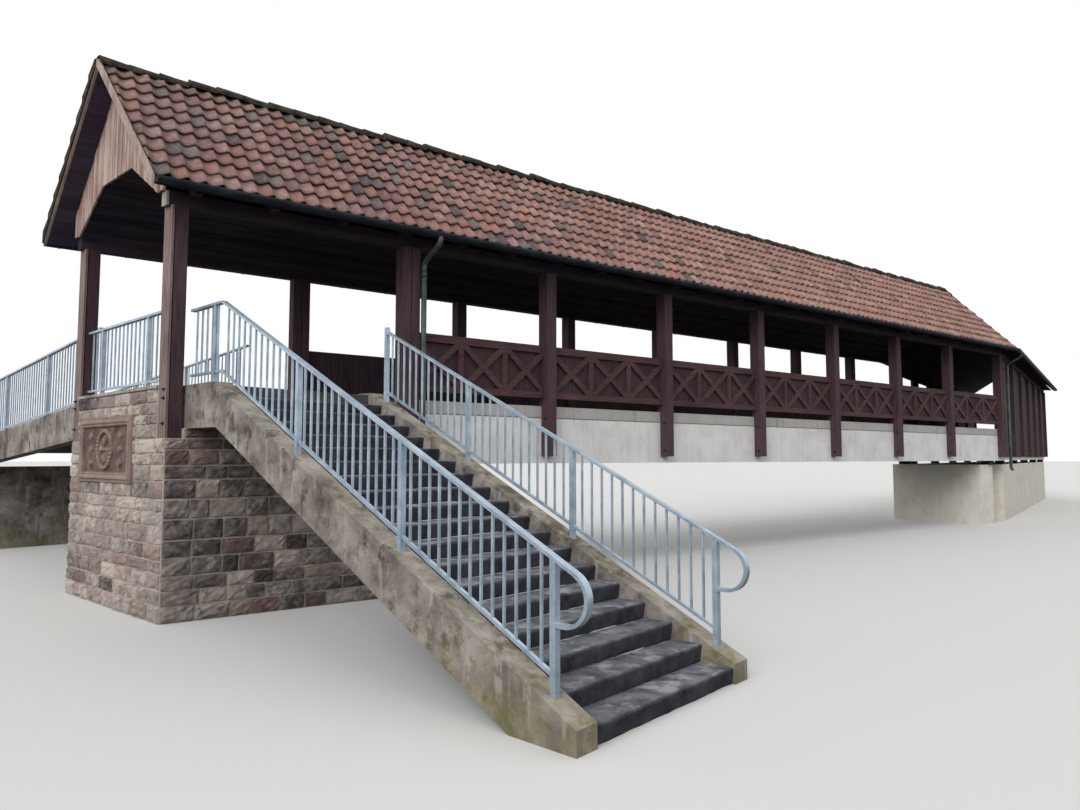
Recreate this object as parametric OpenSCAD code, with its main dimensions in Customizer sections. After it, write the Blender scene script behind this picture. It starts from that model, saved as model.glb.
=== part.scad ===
// Covered timber footbridge with a tiled gable roof, a stone abutment,
// a side stair and a side ramp. Units are millimetres and +Z is up.
// The origin lies on the ground under the middle of the west gable.
// X follows the first, straight run of the bridge.

/* [Bridge run] */
// Overall width between the outer faces of the timber posts
bridge_w = 2970; // [2400:10:4000]
// Spacing of the open bays between single posts
bay = 2640; // [2200:10:3200]
// Distance along the near side from the gable post to the doubled posts
portal_len = 2919; // [2400:1:3600]
// Distance along the near side from the gable post to the first single post
first_post = 5411; // [4800:1:6200]
// Length of the last open bay, up to the bend posts
last_bay = 3010; // [2400:10:3600]
// Angle of the gable, stair and ramp to the cross direction
skew = 12; // [0:0.5:20]
// Joint between the pieces of the two runs at the bend
joint_gap = 2; // [1:0.5:10]
// Joint between the concrete beams of the two runs at the bend
beam_joint = 20; // [10:1:40]
// Angle by which the far run turns to the left
bend = 16; // [4:0.5:24]
// Spacing of the posts in the closed far run
far_bay = 2600; // [2200:10:3000]

/* [Levels] */
// Walking level of the bridge above the ground
deck_z = 2660; // [2200:10:4000]
// Depth of the concrete edge beams
beam_h = 897; // [500:1:1200]
// Height of the timber railing above the walking level
rail_h = 950; // [850:10:1200]
// Underside of the eaves beams above the ground
purlin_z = 4770; // [4500:10:6000]
// Top of the roof slope at the ridge above the ground
ridge_z = 6932; // [6000:1:9000]
// Rise of the roof for each unit of run
roof_k = 1.08; // [0.6:0.01:1.4]
// Top of the piers above the ground
pier_z = 1650; // [1200:10:1900]

/* [Timber] */
// Width of a single post along the bridge
post_w = 188; // [120:1:260]
// Depth of a post across the bridge
post_d = 214; // [150:1:280]
// Width of one post of a doubled pair
pair_w = 130; // [90:1:180]
// Gap between the two posts of a pair
pair_gap = 10; // [4:1:40]
// How far the post feet stand in front of the edge beam
post_proud = 146; // [60:1:200]
// Height of the post feet above the underside of the beams
foot_up = 111; // [20:1:300]
// Foot level of the near gable post above the ground
gable_foot = 2074; // [1700:1:2500]
// Width of the eaves beams
purlin_w = 120; // [80:5:200]
// Height of the eaves beams
purlin_h = 170; // [100:5:260]
// How far the eaves beams stick out past the gable
purlin_out = 45; // [20:5:250]
// Height of the top rail of the timber railing
top_rail = 115; // [60:5:160]
// Height of the bottom rail of the timber railing
low_rail = 95; // [60:5:160]
// Gap between the walking level and the timber railing
rail_gap = 125; // [60:5:200]
// Width of the crossed bars
bar_w = 88; // [40:1:110]
// Thickness of the crossed bars
bar_t = 40; // [20:1:60]
// Thickness of the boarding
board_t = 25; // [18:1:45]
// Half width of the flat middle of the ceiling
ceil_half = 480; // [300:10:800]
// Height of the flat middle of the ceiling above the ground
ceil_z = 5447; // [5100:1:6000]
// Spacing of the rafters
rafter_step = 880; // [600:10:1100]
// Width of a rafter
rafter_w = 90; // [60:5:140]

/* [Roof] */
// Distance from the middle of the bridge to the edge of the eaves
eave_half = 1820; // [1600:10:2200]
// Upright thickness of the roof slope
roof_t = 170; // [120:5:260]
// Thickness of the gable boarding
gable_t = 40; // [25:1:60]
// How far the roof runs past the gable
verge = 318; // [150:1:500]
// Thickness of the sloping boards at the gable
barge_t = 32; // [20:1:50]
// Height of the sloping boards at the gable
barge_h = 110; // [80:5:320]
// Radius of the ridge tiles
ridge_r = 115; // [80:1:150]
// Radius of the half-round gutters
gutter_r = 62; // [50:1:80]
// Thickness of the gutter sheet
gutter_t = 3; // [2:0.5:5]
// Radius of the downpipes
pipe_r = 38; // [30:1:55]
// Height of the shoe at the foot of the far downpipe
shoe_z = 1590; // [1400:10:1800]

/* [Concrete] */
// Width of an edge beam
beam_w = 300; // [200:10:500]
// Thickness of the walking slabs
slab_t = 180; // [120:10:300]
// Height of the shallow groove above the underside of the beams
groove_up = 706; // [400:1:850]
// Width of the shallow groove
groove_w = 14; // [6:1:30]

// Length of a bearing block along the bridge
bearing_l = 260; // [150:10:400]
// Width of a bearing block
bearing_w = 220; // [150:10:300]

/* [Stair] */
// Number of risers from the ground to the platform
risers = 19; // [15:1:22]
// Depth of one tread
going = 285; // [260:1:340]
// Height of the side beams above the walking level
cheek_proud = 27; // [0:1:80]
// Angle of the stair to the cross direction
stair_turn = 11.4; // [0:0.1:20]
// Distance of the stair from the corner of the gable
stair_in = 216; // [150:1:600]
// Width of a side beam of the stair
cheek_w = 212; // [180:1:350]
// Clear width of the stair
stair_w = 1839; // [1200:1:2400]
// Upright depth of a side beam at the landing
cheek_h = 500; // [350:5:700]
// Upright depth of a side beam along the flight
cheek_d = 455; // [300:5:700]
// Length by which the side beams stay level past the landing
knee_out = 20; // [0:1:100]
// Length of the landing in front of the platform
landing = 660; // [300:1:1200]
// Height of the handrail above the side beams
hand_h = 910; // [850:5:1200]
// Distances of the west railing posts from the platform edge
west_stands = [2292, 3902, 5542]; // [600:1:6000]
// Distances of the east railing posts from the platform edge
east_stands = [904, 2458, 4004, 5590]; // [600:1:6000]
// Distance of the railing post on the level side beam from the platform edge
level_stand = 503; // [200:1:620]
// Radius of the loop at the foot of a handrail
loop_r = 195; // [150:5:300]
// How far a handrail runs on past its last post before the loop
loop_out = 190; // [120:5:300]
// Side of a square railing post
steel_post = 50; // [30:1:70]
// Side of a square upright bar
steel_bar = 18; // [12:1:25]
// Width of the flat handrail
hand_w = 60; // [40:1:80]
// Thickness of the flat handrail
hand_t = 14; // [8:1:30]

/* [Ramp] */
// Fall of the ramp for each unit of length
ramp_fall = 0.075; // [0.03:0.0025:0.1]
// Length of one railing bay on the ramp
ramp_bay = 2374; // [1800:1:2600]
// Number of railing bays on the ramp
ramp_bays = 3; // [2:1:6]
// Height of the ramp handrails above the side beams
ramp_hand = 1055; // [850:5:1200]
// Height of the handrail on the coping
gable_hand = 900; // [750:5:1100]
// Distance of the ends of the coping railing from the corners of the gable
rail_end = 262; // [230:1:400]
// Distance of the posts of the coping railing from the corners of the gable
rail_stand = 768; // [450:1:1200]
// Distance of the ramp from the doubled posts
ramp_near = 176; // [100:1:500]
// Distance of the ramp from the line of the gable wall
ramp_in = 236; // [150:1:600]
// Depth of the ramp side beams
ramp_h = 520; // [300:5:800]

/* [Abutment] */
// Thickness of the upstand under the coping
rim_t = 300; // [200:10:500]
// Length of the seat for the beam ends
seat_l = 330; // [200:10:600]
// Thickness of the coping stones
coping_t = 36; // [20:1:80]
// Overhang of the coping
coping_out = 30; // [0:5:80]
// Width of the carved stone panel
panel_w = 1780; // [800:10:2200]
// Height of the carved stone panel
panel_h = 850; // [500:10:1100]

/* [Node] */
// Sub-part to show

/* [Hidden] */
hw = bridge_w / 2;
tk = tan(skew);
tb = tan(bend / 2);
foot_z = deck_z - beam_h + foot_up;
beam_z = deck_z - beam_h;
beam_y = hw - post_proud;
in_y = hw - post_d;
gx = hw * tk;
pair_x = gx + portal_len;
p2_x = gx + first_post;
n_bays = 5;
p7_x = p2_x + n_bays * bay;
p8_x = p7_x + last_bay;
bend_near = p8_x + pair_w + 29;
bend_x = bend_near - hw * tb;
far_n = 6;
zone_y = eave_half + 2 * gutter_r + 400;
x_low = -bridge_w;
x_high = bend_x + bridge_w;
first_rafter = eave_half * tk + 113;
far_len = 165 + far_n * far_bay;
purlin_y = hw - 40;
purlin_in = purlin_y - purlin_w;
under_k = ridge_z - roof_t;
rise = deck_z / risers;
rail_top = deck_z + rail_h;
rail_low = deck_z + rail_gap;
rail_out = hw - 88;
flight = going * (risers - 1);
stair_len = landing + flight;
cheek_top = deck_z + cheek_proud;
slope = rise / going;
knee = landing + knee_out;
stair_end = stair_len + 20;
rail_lean = atan(slope);
boards_out = purlin_out + gable_t;
ramp_len = ramp_bay * ramp_bays;
ramp_start = bridge_w / cos(skew);
ramp_w = portal_len * cos(skew) - ramp_in - ramp_near;
ledge_s = cheek_top - cheek_h;
ledge_n = cheek_top - ramp_h - 40;

function line_x(x, y) = x - (y + hw) * tk;
function stair_z(t) = cheek_top - (t - knee) * slope;
function ramp_z(t) = deck_z - max(t - ramp_start, 0) * ramp_fall;

module along_x(x0, x1) {
  translate([x0, 0, 0])
    rotate([90, 0, 90])
      linear_extrude(x1 - x0)
        children();
}

// Plan area of the first run, cut skew at the gable and mitred at the bend
module main_zone(out, z0, z1) {
  g = out / cos(skew);
  translate([0, 0, z0])
    linear_extrude(z1 - z0)
      polygon([
        [zone_y * tk - g, -zone_y],
        [bend_x + zone_y * tb, -zone_y],
        [bend_x - zone_y * tb, zone_y],
        [-zone_y * tk - g, zone_y]
      ]);
}

// Plan area of the far run in its own frame, with a joint left at the bend
module far_zone(out, z0, z1, joint = joint_gap) {
  translate([0, 0, z0])
    linear_extrude(z1 - z0)
      polygon([
        [-zone_y * tb + joint, -zone_y],
        [far_len + out, -zone_y],
        [far_len + out, zone_y],
        [zone_y * tb + joint, zone_y]
      ]);
}

// Plan area of the span that starts at the doubled posts
module span_zone(z0, z1) {
  translate([0, 0, z0])
    linear_extrude(z1 - z0)
      polygon([
        [line_x(pair_x, -zone_y), -zone_y],
        [bend_x + zone_y * tb, -zone_y],
        [bend_x - zone_y * tb, zone_y],
        [line_x(pair_x, zone_y), zone_y]
      ]);
}

// Skewed plan area between two lines along the gable, drawn from y0 to y1
module skew_zone(x0, x1, y0, y1, z0, z1) {
  translate([0, 0, z0])
    linear_extrude(z1 - z0)
      polygon([
        [x0 - y0 * tk, y0],
        [x1 - y0 * tk, y0],
        [x1 - y1 * tk, y1],
        [x0 - y1 * tk, y1]
      ]);
}

// Space in front of the platform edge on the stair side
module stair_side() {
  translate([-4000, -12000, -10])
    cube([12000, 12000 - beam_y, 9000]);
}

module far_frame() {
  translate([bend_x, 0, 0])
    rotate([0, 0, bend])
      children();
}

// Frame of the stair: X across the flight, Y up it towards the platform
module stair_frame() {
  translate([gx, -hw, 0])
    rotate([0, 0, stair_turn])
      children();
}

// Frame of the gable wall and ramp: X along the run, Y along the gable
module skew_frame() {
  translate([gx, -hw, 0])
    rotate([0, 0, skew])
      children();
}

module post_foot(x, w, side, z0) {
  y0 = side < 0 ? -hw : in_y;
  translate([x, y0, deck_z])
    cube([w, post_d, purlin_z - deck_z]);
  translate([x, side < 0 ? -hw : beam_y, z0])
    cube([w, post_proud, deck_z - z0]);
}

module roof_slope(side, thick) {
  polygon([
    [0, ridge_z],
    [side * eave_half, ridge_z - roof_k * eave_half],
    [side * eave_half, ridge_z - roof_k * eave_half - thick],
    [0, ridge_z - thick]
  ]);
}

module ceiling_2d(t) {
  polygon([
    [-purlin_in, purlin_z + purlin_h - 35],
    [-ceil_half, ceil_z],
    [ceil_half, ceil_z],
    [purlin_in, purlin_z + purlin_h - 35],
    [purlin_in, purlin_z + purlin_h - 35 + t],
    [ceil_half, ceil_z + t],
    [-ceil_half, ceil_z + t],
    [-purlin_in, purlin_z + purlin_h - 35 + t]
  ]);
}

module gable_2d() {
  difference() {
    polygon([
      [-purlin_y, purlin_z + purlin_h],
      [-purlin_y, under_k - roof_k * purlin_y],
      [0, under_k],
      [purlin_y, under_k - roof_k * purlin_y],
      [purlin_y, purlin_z + purlin_h]
    ]);
    polygon([
      [-purlin_in, purlin_z + purlin_h - 60],
      [-purlin_in, purlin_z + purlin_h - 35],
      [-ceil_half, ceil_z],
      [ceil_half, ceil_z],
      [purlin_in, purlin_z + purlin_h - 35],
      [purlin_in, purlin_z + purlin_h - 60]
    ]);
  }
}

module purlin_2d(side) {
  translate([side < 0 ? -purlin_y : purlin_in, purlin_z])
    square([purlin_w, purlin_h]);
}

// Half-round gutter with its back hooked up the end of the roof slope
module gutter_2d(side) {
  c = eave_half + gutter_r;
  cz = ridge_z - roof_k * eave_half - 40;
  r1 = gutter_r - gutter_t;
  polygon(concat(
    [[side * eave_half, cz + 30]],
    [for (a = [180:15:360]) [side * (c + gutter_r * cos(a)), cz + gutter_r * sin(a)]],
    [for (a = [360:-15:180]) [side * (c + r1 * cos(a)), cz + r1 * sin(a)]],
    [[side * (eave_half + gutter_t), cz + 30]]
  ));
}

module ridge_2d() {
  difference() {
    translate([0, ridge_z - 55])
      circle(r = ridge_r, $fn = 48);
    polygon([
      [0, ridge_z],
      [ridge_r * 2, ridge_z - roof_k * ridge_r * 2],
      [-ridge_r * 2, ridge_z - roof_k * ridge_r * 2]
    ]);
    translate([-ridge_r * 2, ridge_z - 55 - ridge_r * 2])
      square([ridge_r * 4, ridge_r * 2 - 40]);
  }
}

// One bay of the timber railing with crossed bars, drawn in plan X and height
module lattice_2d(len, cells) {
  h = rail_h - rail_gap;
  in_h = h - top_rail - low_rail;
  step = (len - bar_w * (cells - 1)) / cells;
  translate([0, h - top_rail])
    square([len, top_rail]);
  square([len, low_rail]);
  for (i = [1:cells - 1])
    translate([i * (step + bar_w) - bar_w, low_rail - 1])
      square([bar_w, in_h + 2]);
  for (i = [0:cells - 1])
    translate([i * (step + bar_w), low_rail])
      intersection() {
        translate([0, -1])
          square([step, in_h + 2]);
        union() {
          bar_2d(0, 0, step, in_h);
          bar_2d(0, in_h, step, 0);
        }
      }
}

module bar_2d(x0, y0, x1, y1) {
  a = atan2(y1 - y0, x1 - x0);
  l = norm([x1 - x0, y1 - y0]);
  translate([x0, y0])
    rotate(a)
      translate([-bar_w, -bar_w / 2])
        square([l + 2 * bar_w, bar_w]);
}

module railing_bay(x0, x1, side, cells) {
  y0 = side < 0 ? -rail_out + bar_t : rail_out;
  translate([x0, y0, rail_low])
    rotate([90, 0, 0])
      linear_extrude(bar_t)
        lattice_2d(x1 - x0, cells);
}

module backing_bay(x0, x1, side) {
  y0 = side < 0 ? -rail_out + bar_t : rail_out - bar_t - board_t;
  translate([x0, y0, rail_low])
    cube([x1 - x0, board_t, rail_h - rail_gap - 20]);
}

module stair_profile() {
  polygon([
    [900, cheek_top],
    [-knee, cheek_top],
    [-stair_end, stair_z(stair_end)],
    [-stair_end, 0],
    [-knee - (cheek_top - cheek_d) / slope, 0],
    [-knee - (cheek_h - cheek_d) / slope, cheek_top - cheek_h],
    [900, cheek_top - cheek_h]
  ]);
}

module cheek(a) {
  translate([a, 0, 0])
    rotate([90, 0, 90])
      linear_extrude(cheek_w)
        stair_profile();
}

module step_block(i) {
  z1 = rise * i;
  y0 = -stair_len + going * (i - 1);
  translate([stair_in + cheek_w, y0, max(z1 - 200, 0)])
    cube([stair_w, going, z1 - max(z1 - 200, 0)]);
}

// Steel railing with square posts, a flat handrail, a low rail and square bars
module steel_run(y0, z0, y1, z1, up, gap, bars) {
  k = (z1 - z0) / (y1 - y0);
  len = y0 - y1;
  translate([-hand_w / 2, 0, 0])
    rotate([90, 0, 90])
      linear_extrude(hand_w)
        polygon([[y0, z0 + up], [y1, z1 + up], [y1, z1 + up - hand_t * 2], [y0, z0 + up - hand_t * 2]]);
  translate([-15, 0, 0])
    rotate([90, 0, 90])
      linear_extrude(30)
        polygon([[y0, z0 + gap + 30], [y1, z1 + gap + 30], [y1, z1 + gap], [y0, z0 + gap]]);
  for (i = [1:bars]) {
    y = y0 - len * i / (bars + 1);
    z = z0 + k * (y - y0);
    translate([-steel_bar / 2, y - steel_bar / 2, z + gap + 15])
      cube([steel_bar, steel_bar, up - gap - 30]);
  }
}

module steel_stand(y, z, up) {
  translate([-steel_post / 2, y - steel_post / 2, z])
    cube([steel_post, steel_post, up]);
}

// Solid block up to the coping, cut down to its ledges, seats and notches
module abutment_wall() {
  far = 30000;
  color("#9c8470")
    difference() {
      skew_zone(0, portal_len + seat_l, -hw, hw, 0, deck_z - 10);
      skew_zone(portal_len, far, -hw - 50, hw + 50, beam_z, 9000);
      skew_zone(rim_t, far, -hw - 50, hw + 50, deck_z - slab_t, 9000);
      translate([-2000, -hw - 1, ledge_s])
        cube([6000, post_proud + 1, 3000]);
      translate([-2000, beam_y, ledge_n])
        cube([6000, post_proud + 1, 3000]);
      post_notch(-1);
      post_notch(1);
    }
}

// Room for the foot of a gable post
module post_notch(side) {
  skew_frame()
    translate([-200, side < 0 ? -200 : ramp_start - post_d, gable_foot])
      cube([200 + post_w, 200 + post_d, 3000]);
}

module abutment_coping() {
  color("#8f8578")
    difference() {
      skew_zone(-coping_out, rim_t, -beam_y, beam_y, deck_z - 10, deck_z - 10 + coping_t);
      post_notch(-1);
      post_notch(1);
    }
}

module relief_plaque() {
  color("#8a5f4e")
    skew_frame()
      translate([0, 1745, 1955])
        rotate([90, 0, -90])
          union() {
            difference() {
              translate([-panel_w / 2, -panel_h / 2, 0])
                cube([panel_w, panel_h, 45]);
              translate([-panel_w / 2 + 190, -panel_h / 2 + 75, 15])
                cube([panel_w - 380, panel_h - 150, 60]);
            }
            translate([0, 0, 14])
              difference() {
                cylinder(h = 26, r = 290, $fn = 64);
                translate([0, 0, -1])
                  cylinder(h = 60, r = 232, $fn = 64);
              }
            for (i = [0:7])
              rotate([0, 0, i * 45])
                translate([60, -34, 14])
                  cube([120, 68, 16]);
          }
}

module platform_slab() {
  color("#a39d92")
    skew_zone(rim_t, portal_len, -beam_y, beam_y, deck_z - slab_t, deck_z);
}

module stair_cheek_west() {
  color("#99907f")
    intersection() {
      stair_frame()
        cheek(stair_in);
      stair_side();
    }
}

module stair_cheek_east() {
  color("#99907f")
    intersection() {
      stair_frame()
        cheek(stair_in + cheek_w + stair_w);
      stair_side();
    }
}

module stair_landing() {
  color("#85817a")
    intersection() {
      stair_frame()
        translate([stair_in + cheek_w, -landing, deck_z - 200])
          cube([stair_w, landing + 900, 200]);
      stair_side();
    }
}

module stair_steps_odd() {
  color("#54524f")
    stair_frame()
      for (i = [1:2:risers - 1])
        step_block(i);
}

module stair_steps_even() {
  color("#54524f")
    stair_frame()
      for (i = [2:2:risers - 1])
        step_block(i);
}

// Sloping railing through the given post distances from the platform edge
module stair_run(stands, bars) {
  for (i = [1:len(stands) - 1])
    steel_run(
      -stands[i - 1], stair_z(stands[i - 1]),
      -stands[i], stair_z(stands[i]),
      hand_h, 110, bars[i - 1]
    );
  for (i = [1:len(stands) - 1])
    steel_stand(-stands[i], stair_z(stands[i]) - 15, hand_h + 15 - hand_t);
}

// Loop that carries a handrail on past the last post, round and back to it
module end_loop(t) {
  r = loop_r;
  z0 = stair_z(t) + hand_h;
  z1 = z0 - loop_out * slope;
  mid_y = r * sin(rail_lean) - t - loop_out;
  mid_z = z1 - r * cos(rail_lean);
  translate([-hand_w / 2, 0, 0])
    rotate([90, 0, 90])
      linear_extrude(hand_w) {
        polygon([[-t, z0], [-t - loop_out, z1], [-t - loop_out, z1 - hand_t * 2], [-t, z0 - hand_t * 2]]);
        translate([mid_y, mid_z - r])
          square([-t - mid_y, hand_t * 2]);
      }
  translate([0, mid_y, mid_z])
    rotate([90, 0, 90])
      difference() {
        translate([0, 0, -hand_w / 2])
          cylinder(h = hand_w, r = r, $fn = 48);
        translate([0, 0, -hand_w])
          cylinder(h = hand_w * 2, r = r - hand_t * 2, $fn = 48);
        translate([0, -2 * r, -hand_w])
          cube([2 * r, 4 * r, hand_w * 2]);
        rotate([0, 0, rail_lean])
          translate([0, 0, -hand_w])
            cube([2 * r, 2 * r, hand_w * 2]);
      }
}

module stair_rail_west() {
  color("#8d98a5")
    stair_frame()
      translate([stair_in + cheek_w / 2, 0, 0]) {
        steel_run(110, cheek_top, -knee, cheek_top, hand_h, 110, 5);
        stair_run(concat(knee, west_stands), [12, 13, 13]);
        steel_stand(-level_stand, cheek_top, hand_h - hand_t);
        end_loop(west_stands[2]);
      }
}

module stair_rail_east() {
  color("#8d98a5")
    stair_frame()
      translate([stair_in + cheek_w * 1.5 + stair_w, 0, 0]) {
        stair_run(east_stands, [12, 12, 12]);
        steel_stand(-east_stands[0], stair_z(east_stands[0]) - 15, hand_h + 60);
        end_loop(east_stands[3]);
      }
}

module gable_rail() {
  z = deck_z - 10 + coping_t;
  color("#8d98a5")
    skew_frame()
      translate([90, 0, 0]) {
        steel_run(ramp_start - rail_end, z, rail_end, z, gable_hand, 60, 18);
        steel_stand(rail_stand, z, gable_hand - hand_t);
        steel_stand(ramp_start - rail_stand, z, gable_hand - hand_t);
      }
}

module ramp_zone() {
  translate([0, 0, -1])
    linear_extrude(9000)
      polygon([
        [-gx - 4000, beam_y],
        [12000, beam_y],
        [12000, 30000],
        [-gx - 12000, 30000]
      ]);
}

// Side profile of the ramp: level at the platform, then falling
module ramp_profile(up, depth) {
  t1 = ramp_start + ramp_len;
  polygon([
    [2000, deck_z + up],
    [ramp_start, deck_z + up],
    [t1, ramp_z(t1) + up],
    [t1, ramp_z(t1) + up - depth],
    [ramp_start, deck_z + up - depth],
    [2000, deck_z + up - depth]
  ]);
}

module ramp_body(a, w, up, depth) {
  intersection() {
    skew_frame()
      translate([a, 0, 0])
        rotate([90, 0, 90])
          linear_extrude(w)
            ramp_profile(up, depth);
    ramp_zone();
  }
}

module ramp_slab() {
  color("#98948b")
    ramp_body(ramp_in + cheek_w, ramp_w - 2 * cheek_w, 0, slab_t);
}

module ramp_beams() {
  color("#99907f") {
    ramp_body(ramp_in, cheek_w, cheek_proud, ramp_h);
    ramp_body(ramp_in + ramp_w - cheek_w, cheek_w, cheek_proud, ramp_h);
  }
}

module ramp_pier() {
  t0 = ramp_start + ramp_len - 500;
  h = ramp_z(t0 + 500) + cheek_proud - ramp_h;
  color("#99907f")
    skew_frame()
      translate([ramp_in, t0, 0])
        rotate([90, 0, 90])
          linear_extrude(ramp_w)
            polygon([[0, 0], [500, 0], [500, h], [0, h + 500 * ramp_fall]]);
}

module ramp_rail(a) {
  t0 = ramp_start + 90;
  step = ramp_bay - 30;
  skew_frame()
    translate([a, 0, 0]) {
      for (i = [0:ramp_bays - 1]) {
        y0 = t0 + i * step;
        y1 = y0 + step;
        steel_run(y1, ramp_z(y1) + cheek_proud, y0, ramp_z(y0) + cheek_proud, ramp_hand, 60, 17);
        steel_stand(y1, ramp_z(y1) + 20, ramp_hand - 5);
      }
    }
}

module ramp_rail_west() {
  color("#8d98a5")
    ramp_rail(ramp_in + cheek_w / 2);
}

module ramp_rail_east() {
  color("#8d98a5")
    ramp_rail(ramp_in + ramp_w - cheek_w / 2);
}

module beam_2d(side) {
  difference() {
    translate([side < 0 ? -beam_y : beam_y - beam_w, beam_z])
      square([beam_w, beam_h]);
    translate([side < 0 ? -beam_y - 1 : beam_y - 8, beam_z + groove_up])
      square([9, groove_w]);
  }
}

module bridge_beams() {
  color("#c9c5ba")
    intersection() {
      along_x(x_low, x_high) {
        beam_2d(-1);
        beam_2d(1);
      }
      span_zone(0, 9000);
    }
  color("#c9c5ba")
    far_frame()
      intersection() {
        along_x(-zone_y, far_len) {
          beam_2d(-1);
          beam_2d(1);
        }
        far_zone(0, 0, 9000, beam_joint);
      }
}

module bridge_deck() {
  color("#8f8b84")
    intersection() {
      along_x(x_low, x_high)
        translate([-beam_y + beam_w, deck_z - slab_t])
          square([2 * (beam_y - beam_w), slab_t]);
      span_zone(0, 9000);
    }
  color("#8f8b84")
    far_frame()
      intersection() {
        along_x(-zone_y, far_len)
          translate([-beam_y + beam_w, deck_z - slab_t])
            square([2 * (beam_y - beam_w), slab_t]);
        far_zone(0, 0, 9000, beam_joint);
      }
}

module gable_posts() {
  color("#4a3430") {
    skew_frame()
      for (y = [0, ramp_start - post_d])
        translate([0, y, gable_foot])
          cube([post_w, post_d, purlin_z - gable_foot]);
  }
}

module pair_posts() {
  color("#4a3430")
    for (s = [-1, 1])
      for (i = [0, 1]) {
        x = s < 0 ? pair_x : line_x(pair_x, in_y);
        post_foot(x + i * (pair_w + pair_gap), pair_w, s, foot_z);
      }
}

module span_posts(side) {
  for (i = [0:n_bays])
    post_foot(p2_x + i * bay, post_w, side, foot_z);
}

module posts_south() {
  color("#4a3430")
    span_posts(-1);
}

module posts_north() {
  color("#4a3430")
    span_posts(1);
}

module bend_posts() {
  color("#4a3430") {
    post_foot(p8_x, pair_w, -1, foot_z);
    post_foot(bend_x - hw * tb - 29 - pair_w, pair_w, 1, foot_z);
    far_frame() {
      post_foot(-hw * tb + 29, pair_w, -1, foot_z);
      post_foot(hw * tb + 29, pair_w, 1, foot_z);
    }
  }
}

module far_posts() {
  color("#4a3430")
    far_frame()
      for (s = [-1, 1])
        for (i = [1:far_n])
          post_foot(i * far_bay - 25, post_w, s, foot_z);
}

module railing(side) {
  pair_end = 2 * pair_w + pair_gap;
  x0 = (side < 0 ? pair_x : line_x(pair_x, in_y)) + pair_end;
  railing_bay(x0, p2_x, side, 3);
  for (i = [0:n_bays - 1])
    railing_bay(p2_x + i * bay + post_w, p2_x + (i + 1) * bay, side, 3);
  x9 = side < 0 ? p8_x : bend_x - hw * tb - 29 - pair_w;
  railing_bay(p7_x + post_w, x9, side, 3);
}

module backing(side) {
  pair_end = 2 * pair_w + pair_gap;
  x0 = (side < 0 ? pair_x : line_x(pair_x, in_y)) + pair_end;
  backing_bay(x0, p2_x, side);
  for (i = [0:n_bays - 1])
    backing_bay(p2_x + i * bay + post_w, p2_x + (i + 1) * bay, side);
  x9 = side < 0 ? p8_x : bend_x - hw * tb - 29 - pair_w;
  backing_bay(p7_x + post_w, x9, side);
}

module railing_south() {
  color("#513834")
    railing(-1);
}

module railing_north() {
  color("#513834")
    railing(1);
}

module railing_boards() {
  color("#3c2b29") {
    backing(-1);
    backing(1);
  }
}

module purlins() {
  color("#46322e") {
    intersection() {
      along_x(x_low, x_high) {
        purlin_2d(-1);
        purlin_2d(1);
      }
      main_zone(purlin_out, 0, 9000);
    }
    far_frame()
      intersection() {
        along_x(-zone_y, far_len + bridge_w) {
          purlin_2d(-1);
          purlin_2d(1);
        }
        far_zone(purlin_out, 0, 9000);
      }
  }
}

module ceiling() {
  color("#3a2a28") {
    intersection() {
      along_x(x_low, x_high)
        ceiling_2d(board_t);
      main_zone(purlin_out, 0, 9000);
    }
    far_frame()
      intersection() {
        along_x(-zone_y, far_len + purlin_out)
          ceiling_2d(board_t);
        far_zone(purlin_out, 0, 9000);
      }
  }
}

module gable_boards() {
  color("#7a5f50") {
    difference() {
      intersection() {
        along_x(x_low, bridge_w)
          gable_2d();
        main_zone(boards_out, 0, 9000);
      }
      main_zone(purlin_out, -1, 9001);
    }
    far_frame()
      along_x(far_len + purlin_out, far_len + boards_out)
        gable_2d();
  }
}

module barge_2d(side) {
  polygon([
    [0, ridge_z + 12],
    [side * (eave_half + 10), ridge_z + 12 - roof_k * (eave_half + 10)],
    [side * (eave_half + 10), ridge_z + 12 - roof_k * (eave_half + 10) - barge_h],
    [0, ridge_z + 12 - barge_h]
  ]);
}

module barge_boards() {
  color("#6f6258") {
    difference() {
      intersection() {
        along_x(x_low, bridge_w) {
          barge_2d(-1);
          barge_2d(1);
        }
        main_zone(verge + barge_t, 0, 9000);
      }
      main_zone(verge, -1, 9001);
    }
    far_frame()
      translate([far_len + verge, 0, 0])
        along_x(0, barge_t) {
          barge_2d(-1);
          barge_2d(1);
        }
  }
}

module main_roof(side) {
  intersection() {
    along_x(x_low, x_high)
      roof_slope(side, roof_t);
    main_zone(verge, 0, 9000);
  }
}

module far_roof(side) {
  far_frame()
    intersection() {
      along_x(-zone_y, far_len + verge)
        roof_slope(side, roof_t);
      far_zone(verge, 0, 9000);
    }
}

module roof_south() {
  color("#8c4f3c")
    main_roof(-1);
}

module roof_north() {
  color("#8c4f3c")
    main_roof(1);
}

module far_roof_south() {
  color("#8c4f3c")
    far_roof(-1);
}

module far_roof_north() {
  color("#8c4f3c")
    far_roof(1);
}

module rafter_2d(side) {
  d = 320;
  difference() {
    polygon([
      [0, under_k],
      [side * (eave_half - 60), under_k - roof_k * (eave_half - 60)],
      [side * (eave_half - 60), under_k - roof_k * (eave_half - 60) - 3],
      [side * purlin_y, under_k - roof_k * purlin_y - d],
      [0, under_k - d]
    ]);
    purlin_2d(side);
  }
}

module rafter_pair(x) {
  along_x(x, x + rafter_w) {
    rafter_2d(-1);
    rafter_2d(1);
  }
}

module rafters() {
  color("#3f2e2a") {
    for (x = [first_rafter:rafter_step:bend_x - eave_half * tb - rafter_w - 100])
      rafter_pair(x);
    far_frame()
      for (x = [first_rafter:rafter_step:far_len - 200])
        rafter_pair(x);
  }
}

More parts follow.
